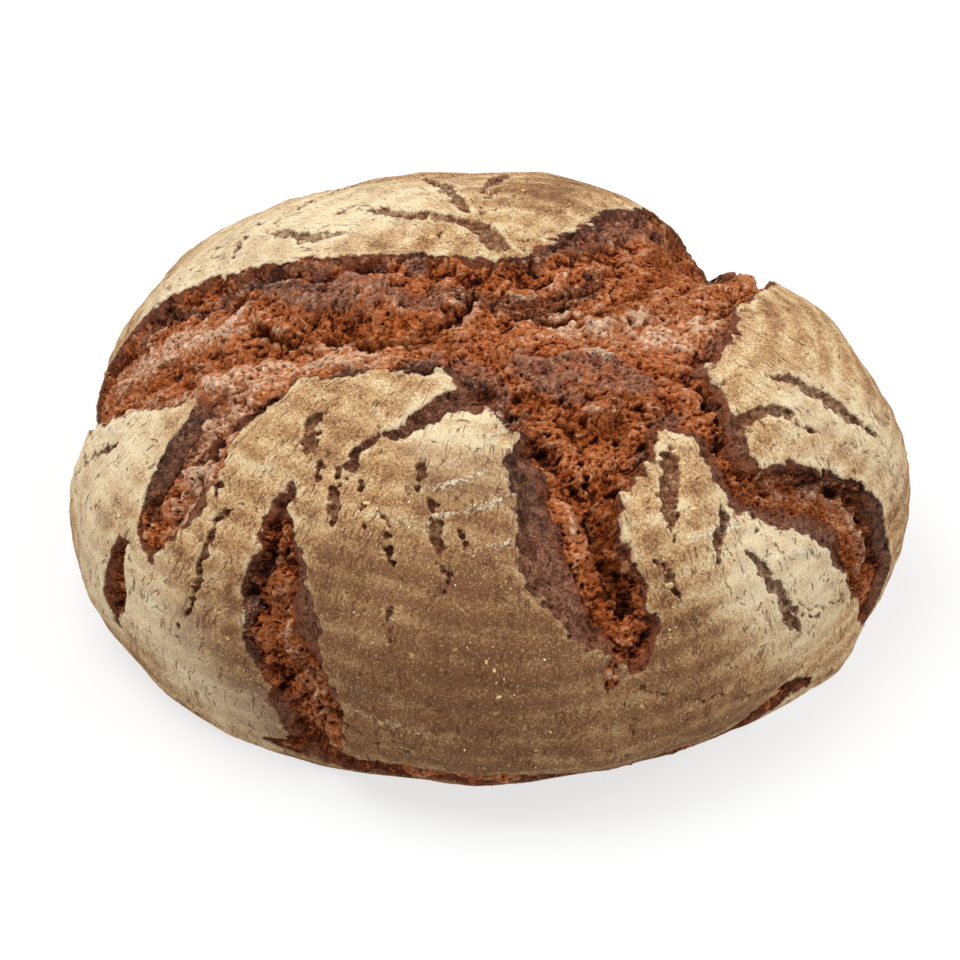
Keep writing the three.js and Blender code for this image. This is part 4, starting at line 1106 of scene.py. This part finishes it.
# rye crumb torn open and baked: coarse and pitted, near black in its pores as painted shade, amber where it
# pulled deep, rust above that, rose on what stands up as partly painted highlight, and greyed to mauve where
# it dried first
def tornCrumbMaterial():
    material, tree, field, lying = openMaterial("torn rye crumb", crumbFieldNames)
    drawn = drawnOut(tree, lying)
    fibre, broad, patch = (addNode(tree, "ShaderNodeTexNoise", {},
                                   {"Vector": drawn, "Scale": scale, "Detail": detail, "Roughness": rough})
                           for scale, detail, rough in ((0.8, 5.0, 0.78), (0.1, 3.0, 0.6), (0.16, 4.0, 0.65)))
    dust = addNode(tree, "ShaderNodeTexNoise", {},
                   {"Vector": lying, "Scale": 0.9, "Detail": 3.0, "Roughness": 0.7})

    # painted light and shade: grains that stand up painted paler, hollows darker, paler still in the painted
    # light patches; random tone from the fibres
    high = weighed(tree, -0.45, [(field["fineShadeAndLight"], 1.1), (field["wideHollowShade"], 0.1), (field["raised"], 0.06),
                                 (fibre, 5.4), (broad, 1.0), (field["rosyPaintedLight"], 1.0), (field["amber"], -0.15)])
    high = addNode(tree, "ShaderNodeMath", "MULTIPLY", [high, 1 / crumbScale])
    colour = addNode(tree, "ShaderNodeValToRGB", {}, {"Fac": high}, "Color")
    ramp = colour.node.color_ramp
    for place, name in crumbStops:
        ramp.elements.new(place / crumbScale).color = crumbColours[name]
    ramp.elements.remove(ramp.elements[0])
    ramp.elements.remove(ramp.elements[-1])

    # amber in the deep, greyed on the high parts, scorched under the lips and partly painted shade there
    glowing = weighed(tree, -1.75, [(patch, 3.0), (field["amber"], 0.8)])
    greyed = weighed(tree, 1.1, [(patch, -2.6), (fibre, 1.0), (field["fineShadeAndLight"], 0.25)])
    greyed = addNode(tree, "ShaderNodeMath", "ADD", [field["mauve"], greyed])
    greyed = addNode(tree, "ShaderNodeMath", "MULTIPLY_ADD", [field["rosyPaintedLight"], -0.7, greyed])
    scorched = addNode(tree, "ShaderNodeMath", "MULTIPLY_ADD", [fibre, -2.0, 0.8])
    scorched = addNode(tree, "ShaderNodeMath", "ADD", [field["scorchAndShade"], scorched])
    mauve = layered(tree, crumbColours, crumbColours["mauve"], [(fibre, 0.4, 0.65, 1.0, "mauvePale")])
    gold = layered(tree, crumbColours, crumbColours["deep"], [(fibre, 0.4, 0.65, 1.0, "gold")])
    # painted shade: dark in the wide hollows and pores, down to pits of half a millimetre
    bent = addNode(tree, "ShaderNodeVectorMath", "MULTIPLY_ADD",
                   [fibre.node.outputs["Color"], (2.4, 2.4, 2.4), drawn])
    pit = addNode(tree, "ShaderNodeTexVoronoi", {}, {"Vector": bent, "Scale": 0.6})
    grains = addNode(tree, "ShaderNodeMath", "MULTIPLY", [field["dusted"], dust])
    colour = layered(tree, crumbColours, colour, [
        (glowing, 0.0, 0.8, 0.75, gold), (greyed, 0.8, 1.5, 0.8, mauve), (scorched, 0.3, 1.1, 0.8, "scorchAndShade"),
        (field["wideHollowShade"], -0.8, -3.8, 0.5, "pore"), (field["pore"], 0.0, 1.0, 0.85, "pore"),
        (pit, 0.3, 0.14, 0.85, "pore"), (grains, 0.4, 0.56, 0.8, "flour")])

    # bump, too fine for the mesh: fibres and pits of the crumb
    height = addNode(tree, "ShaderNodeMath", "MULTIPLY", [fibre, 2.4])
    height = weighed(tree, height, [(pit, 0.9)])
    closeMaterial(tree, height, {"Base Color": colour, "Roughness": 0.7, "IOR": 1.4,
                                 "Specular IOR Level": 0.12})
    return material


# the view from in front and above, in the dome's own millimetres
view = {"place": (0.0, -819.2, 618.6), "towards": (2.5, -8.1, 33.4), "lens": 110.4}

studio = {
    "floorTint": sRgb("#7c7c7c"),
    "floorGlow": 0.715,  # the paper is lit from beneath, which keeps shadows pale
    "skyStrength": 0.55,
    "softboxes": [
        # name, power in watts, size in metres, place
        ("overhead left softbox", 15.0, 0.9, (-0.38, 0.08, 1.2)),
        ("right softbox", 6.0, 0.7, (0.9, -0.1, 0.8)),
    ],
}


def setCamera(shift):
    lens = bpy.data.cameras.new("camera")
    lens.lens = view["lens"]
    lens.sensor_width = 36.0
    lens.clip_end = 20.0
    camera = bpy.data.objects.new("camera", lens)
    bpy.context.collection.objects.link(camera)
    place = (Vector(view["place"]) - Vector(shift)) * metre
    towards = (Vector(view["towards"]) - Vector(shift)) * metre
    camera.location = place
    camera.rotation_euler = (towards - place).to_track_quat("-Z", "Y").to_euler()
    bpy.context.scene.camera = camera


def setStudio():
    world = bpy.data.worlds.new("studio")
    world.use_nodes = True
    world.node_tree.nodes["Background"].inputs["Color"].default_value = (1.0, 1.0, 1.0, 1.0)
    world.node_tree.nodes["Background"].inputs["Strength"].default_value = studio["skyStrength"]
    bpy.context.scene.world = world
    bpy.context.scene.view_settings.view_transform = "Standard"

    for name, power, size, place in studio["softboxes"]:
        lamp = bpy.data.lights.new(name, "AREA")
        lamp.energy = power
        lamp.size = size
        softbox = bpy.data.objects.new(name, lamp)
        softbox.location = place
        softbox.rotation_euler = (-Vector(place)).to_track_quat("-Z", "Y").to_euler()
        bpy.context.collection.objects.link(softbox)

    reach = 4.0
    mesh = bpy.data.meshes.new("floor")
    corners = [(-reach, -reach, 0), (reach, -reach, 0), (reach, reach, 0), (-reach, reach, 0)]
    mesh.from_pydata(corners, [], [(0, 1, 2, 3)])
    floor = bpy.data.objects.new("floor", mesh)
    bpy.context.collection.objects.link(floor)
    paper = bpy.data.materials.new("white studio paper")
    paper.use_nodes = True
    shader = paper.node_tree.nodes["Principled BSDF"]
    shader.inputs["Base Color"].default_value = studio["floorTint"]
    shader.inputs["Roughness"].default_value = 0.9
    shader.inputs["Emission Color"].default_value = (1.0, 1.0, 1.0, 1.0)
    shader.inputs["Emission Strength"].default_value = studio["floorGlow"]
    mesh.materials.append(paper)


# evens a value out over each corner's neighbours, as many times as asked
def evenOut(values, faces, times):
    here = faces.ravel()
    there = np.roll(faces, -1, axis=1).ravel()
    shares = np.bincount(here, minlength=len(values)) + np.bincount(there, minlength=len(values))
    for _ in range(times):
        around = np.bincount(here, values[there], len(values)) + np.bincount(there, values[here], len(values))
        values = 0.4 * values + 0.6 * around / shares
    return values


def cornerNormals(places, faces):
    a, b, c = (places[faces[:, k]] for k in range(3))
    cross = np.cross(b - a, c - a)
    normals = np.stack([sum(np.bincount(faces[:, k], cross[:, axis], len(places)) for k in range(3))
                        for axis in range(3)], axis=1)
    return normals / (np.linalg.norm(normals, axis=1, keepdims=True) + 1e-12)


# faces of the crumb, without those that would meet another only at a corner
def crumbFaces(faces, crumbEdge, hold, margin):
    chosen = faces[(crumbEdge[faces].max(axis=1) < margin) & (hold[faces].max(axis=1) < 0.9)]
    while True:
        ends = np.stack([chosen, np.roll(chosen, -1, axis=1)], axis=2).reshape(-1, 2)
        low, high = ends.min(axis=1), ends.max(axis=1)
        pair = low.astype(np.int64) * 10 ** 7 + high
        _, first, uses = np.unique(pair, return_index=True, return_counts=True)
        border = ends[first[uses == 1]]
        pinched = np.bincount(border.ravel(), minlength=len(crumbEdge)) > 2
        if not pinched.any():
            return chosen, border
        chosen = chosen[~pinched[chosen].any(axis=1)]


# the crumb as a closed slab: its torn top, its border tucked under the skin, and a plain underside
def partCrumb(smoothPlaces, places, faces, fields):
    chosen, border = crumbFaces(faces, fields["crumbEdge"], fields["hold"], parting["margin"])
    kept = np.unique(chosen)
    index = np.full(len(places), -1)
    index[kept] = np.arange(len(kept))
    top = index[chosen]
    under = top[:, ::-1] + len(kept)
    a, b = index[border].T
    below = len(kept)
    sides = np.concatenate([np.stack([b, a, a + below], axis=1), np.stack([b, a + below, b + below], axis=1)])
    outward = fields["outward"][kept]
    tuck = parting["tuck"] * smooth(-1.0, parting["margin"], fields["crumbEdge"][kept])
    topPlaces = places[kept] - outward * tuck[:, None]
    underPlaces = smoothPlaces[kept] - outward * parting["thickness"]
    topPlaces[:, 2] = np.maximum(topPlaces[:, 2], 0.0)
    underPlaces[:, 2] = np.maximum(underPlaces[:, 2], 0.6)
    crumbFields = {name: np.tile(fields[name][kept], 2) for name in crumbFieldNames}
    return np.vstack([topPlaces, underPlaces]), np.concatenate([top, under, sides]), crumbFields


# the crust keeps the whole loaf's surface, sunk out of sight where crumb lies over it
def partCrust(smoothPlaces, places, fields):
    sink = smooth(0.4, 3.0, -fields["crumbEdge"])[:, None]
    sunken = smoothPlaces - fields["outward"] * (parting["thickness"] - 0.6)
    crustPlaces = places + (sunken - places) * sink
    crustPlaces[:, 2] = np.maximum(crustPlaces[:, 2], 0.0)
    return crustPlaces


# drops scraps of crumb too small to see, then thins the mesh to its share of triangles
def finishPiece(piece, triangles, scrap):
    if scrap:
        values = {"Fewest faces": float(scrap)}
        tree, given = openTree("dropScraps", values)
        island = tree.nodes.new("GeometryNodeInputMeshIsland").outputs["Island Index"]
        size = addNode(tree, "GeometryNodeAccumulateField", {"data_type": "FLOAT", "domain": "FACE"},
                       {"Value": 1.0, "Group ID": island}, "Total")
        small = addNode(tree, "FunctionNodeCompare", "LESS_THAN", [size, given["Fewest faces"]])
        body = addNode(tree, "GeometryNodeDeleteGeometry", {"domain": "FACE"},
                       {"Geometry": given["Geometry"], "Selection": small})
        closeTree(tree, body, piece.data.materials[0], piece, values)
    if len(piece.data.polygons) > triangles:
        thin = piece.modifiers.new("thinned", "DECIMATE")
        thin.ratio = triangles / len(piece.data.polygons)
    settle(piece)
    print(piece.name, "finished:", len(piece.data.polygons), "faces")


# loose bits strewn over a piece, by Geometry Nodes: most of them to a square metre, then sizes in mm
flourGrains = {"Most": 42000.0, "Clump": 18.0, "Smallest": 0.12, "Largest": 0.42, "Flatness": 0.5, "Seed": 5}
ryeFlakes = {"Most": 5200.0, "Clump": 30.0, "Smallest": 0.35, "Largest": 1.1, "Flatness": 0.2, "Seed": 11}
crumbBits = {"Most": 260000.0, "Clump": 7.0, "Smallest": 0.25, "Largest": 0.8, "Flatness": 0.8, "Seed": 23}

# no bits where the surface looks down or in, seen from the loaf's heart, nor beside the table; metres
strewing = {"heart": (0.0, 0.0, 0.02), "outward": 0.012, "aboveTable": 0.0016}


# rimWidth: how far from the rims of the plates the bits keep, mm
def strew(name, over, values, rimWidth, material):
    tree, given = openTree(name, values)

    # in clumps, on faces that look out of the loaf, clear of the plates' rims and of the table
    lying = tree.nodes.new("GeometryNodeInputPosition").outputs["Position"]
    facing = tree.nodes.new("GeometryNodeInputNormal").outputs["Normal"]
    perClump = addNode(tree, "ShaderNodeMath", "DIVIDE", [1 / metre, given["Clump"]])
    clump = addNode(tree, "ShaderNodeTexNoise", {}, {"Vector": lying, "Scale": perClump, "Detail": 3.0})
    clump = addNode(tree, "ShaderNodeMapRange", softly, [clump, 0.45, 0.68, 0.05, 1.0])
    outward = addNode(tree, "ShaderNodeVectorMath", "SUBTRACT", [lying, strewing["heart"]])
    outward = addNode(tree, "ShaderNodeVectorMath", "DOT_PRODUCT", [outward, facing], "Value")
    outward = addNode(tree, "ShaderNodeMath", "GREATER_THAN", [outward, strewing["outward"]])
    clear = addNode(tree, "GeometryNodeInputNamedAttribute", {"data_type": "FLOAT"}, ["edge"])
    clear = addNode(tree, "ShaderNodeMath", "GREATER_THAN", [clear, rimWidth])
    lifted = addNode(tree, "ShaderNodeSeparateXYZ", {}, {"Vector": lying}, "Z")
    lifted = addNode(tree, "ShaderNodeMath", "GREATER_THAN", [lifted, strewing["aboveTable"]])
    density = given["Most"]
    for share in (clump, outward, clear, lifted):
        density = addNode(tree, "ShaderNodeMath", "MULTIPLY", [density, share])
    points = addNode(tree, "GeometryNodeDistributePointsOnFaces", {"distribute_method": "RANDOM"},
                     {"Mesh": given["Geometry"], "Density": density, "Seed": given["Seed"]})

    # each bit is turned and sized by chance
    bit = addNode(tree, "GeometryNodeMeshIcoSphere", {}, {"Radius": metre, "Subdivisions": 1})
    turn = addNode(tree, "FunctionNodeRandomValue", {"data_type": "FLOAT_VECTOR"},
                   {0: (-0.3, -0.3, 0.0), 1: (0.3, 0.3, 2 * math.pi), "Seed": given["Seed"]})
    turn = addNode(tree, "FunctionNodeEulerToRotation", {}, {"Euler": turn})
    turn = addNode(tree, "FunctionNodeRotateRotation", {"rotation_space": "LOCAL"},
                   {"Rotation": points.node.outputs["Rotation"], "Rotate By": turn})
    chance = addNode(tree, "FunctionNodeRandomValue", {"data_type": "FLOAT"},
                     {2: 0.0, 3: 1.0, "Seed": given["Seed"]}, 1)
    chance = addNode(tree, "ShaderNodeMath", "POWER", [chance, 3.0])
    size = addNode(tree, "ShaderNodeMix", {}, {0: chance, 2: given["Smallest"], 3: given["Largest"]})
    shape = addNode(tree, "FunctionNodeRandomValue", {"data_type": "FLOAT_VECTOR"},
                    {0: (0.8, 0.5, 0.7), 1: (1.5, 0.9, 1.0), "Seed": given["Seed"]})
    thin = addNode(tree, "ShaderNodeCombineXYZ", {}, [1.0, 1.0, given["Flatness"]])
    shape = addNode(tree, "ShaderNodeVectorMath", "MULTIPLY", [shape, thin])
    shape = addNode(tree, "ShaderNodeVectorMath", "SCALE", {"Vector": shape, "Scale": size})
    body = addNode(tree, "GeometryNodeInstanceOnPoints", {},
                   {"Points": points, "Instance": bit, "Rotation": turn, "Scale": shape})
    piece = bpy.data.objects.new(name, over.data)
    bpy.context.collection.objects.link(piece)
    closeTree(tree, body, material, piece, values)
    settle(piece)
    print(name, "strewn:", len(piece.data.polygons), "faces")
    return piece


# one colour, matt and powdery: grains of flour, or thin flakes off the rye's bran
def powderMaterial(name, colour):
    material = bpy.data.materials.new(name)
    material.use_nodes = True
    shader = material.node_tree.nodes["Principled BSDF"]
    shader.inputs["Base Color"].default_value = colour
    shader.inputs["Roughness"].default_value = 0.95
    return material


parting = {
    "margin": 1.0,  # how far the crumb runs on under the skin, mm
    "tuck": 1.4,  # and how deep its border lies there
    "thickness": 8.4,  # of the crumb's slab
    "crustTriangles": 190000,
    "crumbTriangles": 190000,
    "scrap": 300,  # pieces of crumb with fewer faces are dropped
    "nookTimes": 6,  # evenings-out for the finest hollows, at full fineness
    "dellTimes": 110,  # and for the wide ones
}

places, faces, fields = shapeLoaf()
middle = (places[:, :2].min(axis=0) + places[:, :2].max(axis=0)) / 2
shift = np.array([middle[0], middle[1], 0.0])
setCamera(shift)
setStudio()
crustMaterial = ryeCrustMaterial()
crumbMaterial = tornCrumbMaterial()
print("camera, light and materials ready")

fine = makeMesh("fineLoaf", places, faces, fields, shift, crustMaterial)
raiseCrumb(fine, crustMaterial)
settle(fine)
raisedPlaces = np.empty(len(places) * 3, dtype=np.float32)
fine.data.vertices.foreach_get("co", raisedPlaces)
raisedPlaces = raisedPlaces.reshape(-1, 3) / metre + shift
raisedPlaces[:, 2] = np.maximum(raisedPlaces[:, 2], 0.02)  # nothing sinks into the table
for name in ("raised", "pore"):
    fields[name] = np.empty(len(places), dtype=np.float32)
    fine.data.attributes[name].data.foreach_get("value", fields[name])
bpy.data.objects.remove(fine)
print("relief raised")

# hollows fine and wide: how far each point stands above what is around it, used to paint shade into hollows
# and light onto what stands up
share = (dome["rings"] / dome["fullRings"]) ** 2
height = ((raisedPlaces - fields["rest"]) * fields["outward"]).sum(axis=1)
near = evenOut(height, faces, max(1, round(parting["nookTimes"] * share)))
facing = (cornerNormals(raisedPlaces, faces) * fields["outward"]).sum(axis=1)
fields["fineShadeAndLight"] = (height - near) * smooth(0.1, 0.6, facing)
fields["wideHollowShade"] = near - evenOut(near, faces, max(4, round(parting["dellTimes"] * share)))
print("hollows measured")

crustFields = {name: fields[name] for name in ("spoke",) + crustFieldNames}
crustPlaces = partCrust(places, raisedPlaces, fields)
crust = makeMesh("ryeLoafCrust", crustPlaces, faces, crustFields, shift, crustMaterial)
finishPiece(crust, parting["crustTriangles"], 0)
crumbPlaces, crumbSides, crumbFields = partCrumb(places, raisedPlaces, faces, fields)
crumb = makeMesh("ryeLoafCrumb", crumbPlaces, crumbSides, crumbFields, shift, crumbMaterial)
finishPiece(crumb, parting["crumbTriangles"], parting["scrap"])

for piece in (crust, crumb):
    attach(piece, "root")
    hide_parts("loaf")

flour = strew("flourGrains", crust, flourGrains, 0.8, powderMaterial("loose flour", ryeColours["chalk"]))
flakes = strew("ryeFlakes", crust, ryeFlakes, 2.0, powderMaterial("flakes of bran", ryeColours["flake"]))
bits = strew("crumbBits", crumb, crumbBits, -100.0, crumbMaterial)
for piece in (flour, flakes, bits):
    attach(piece, "root")
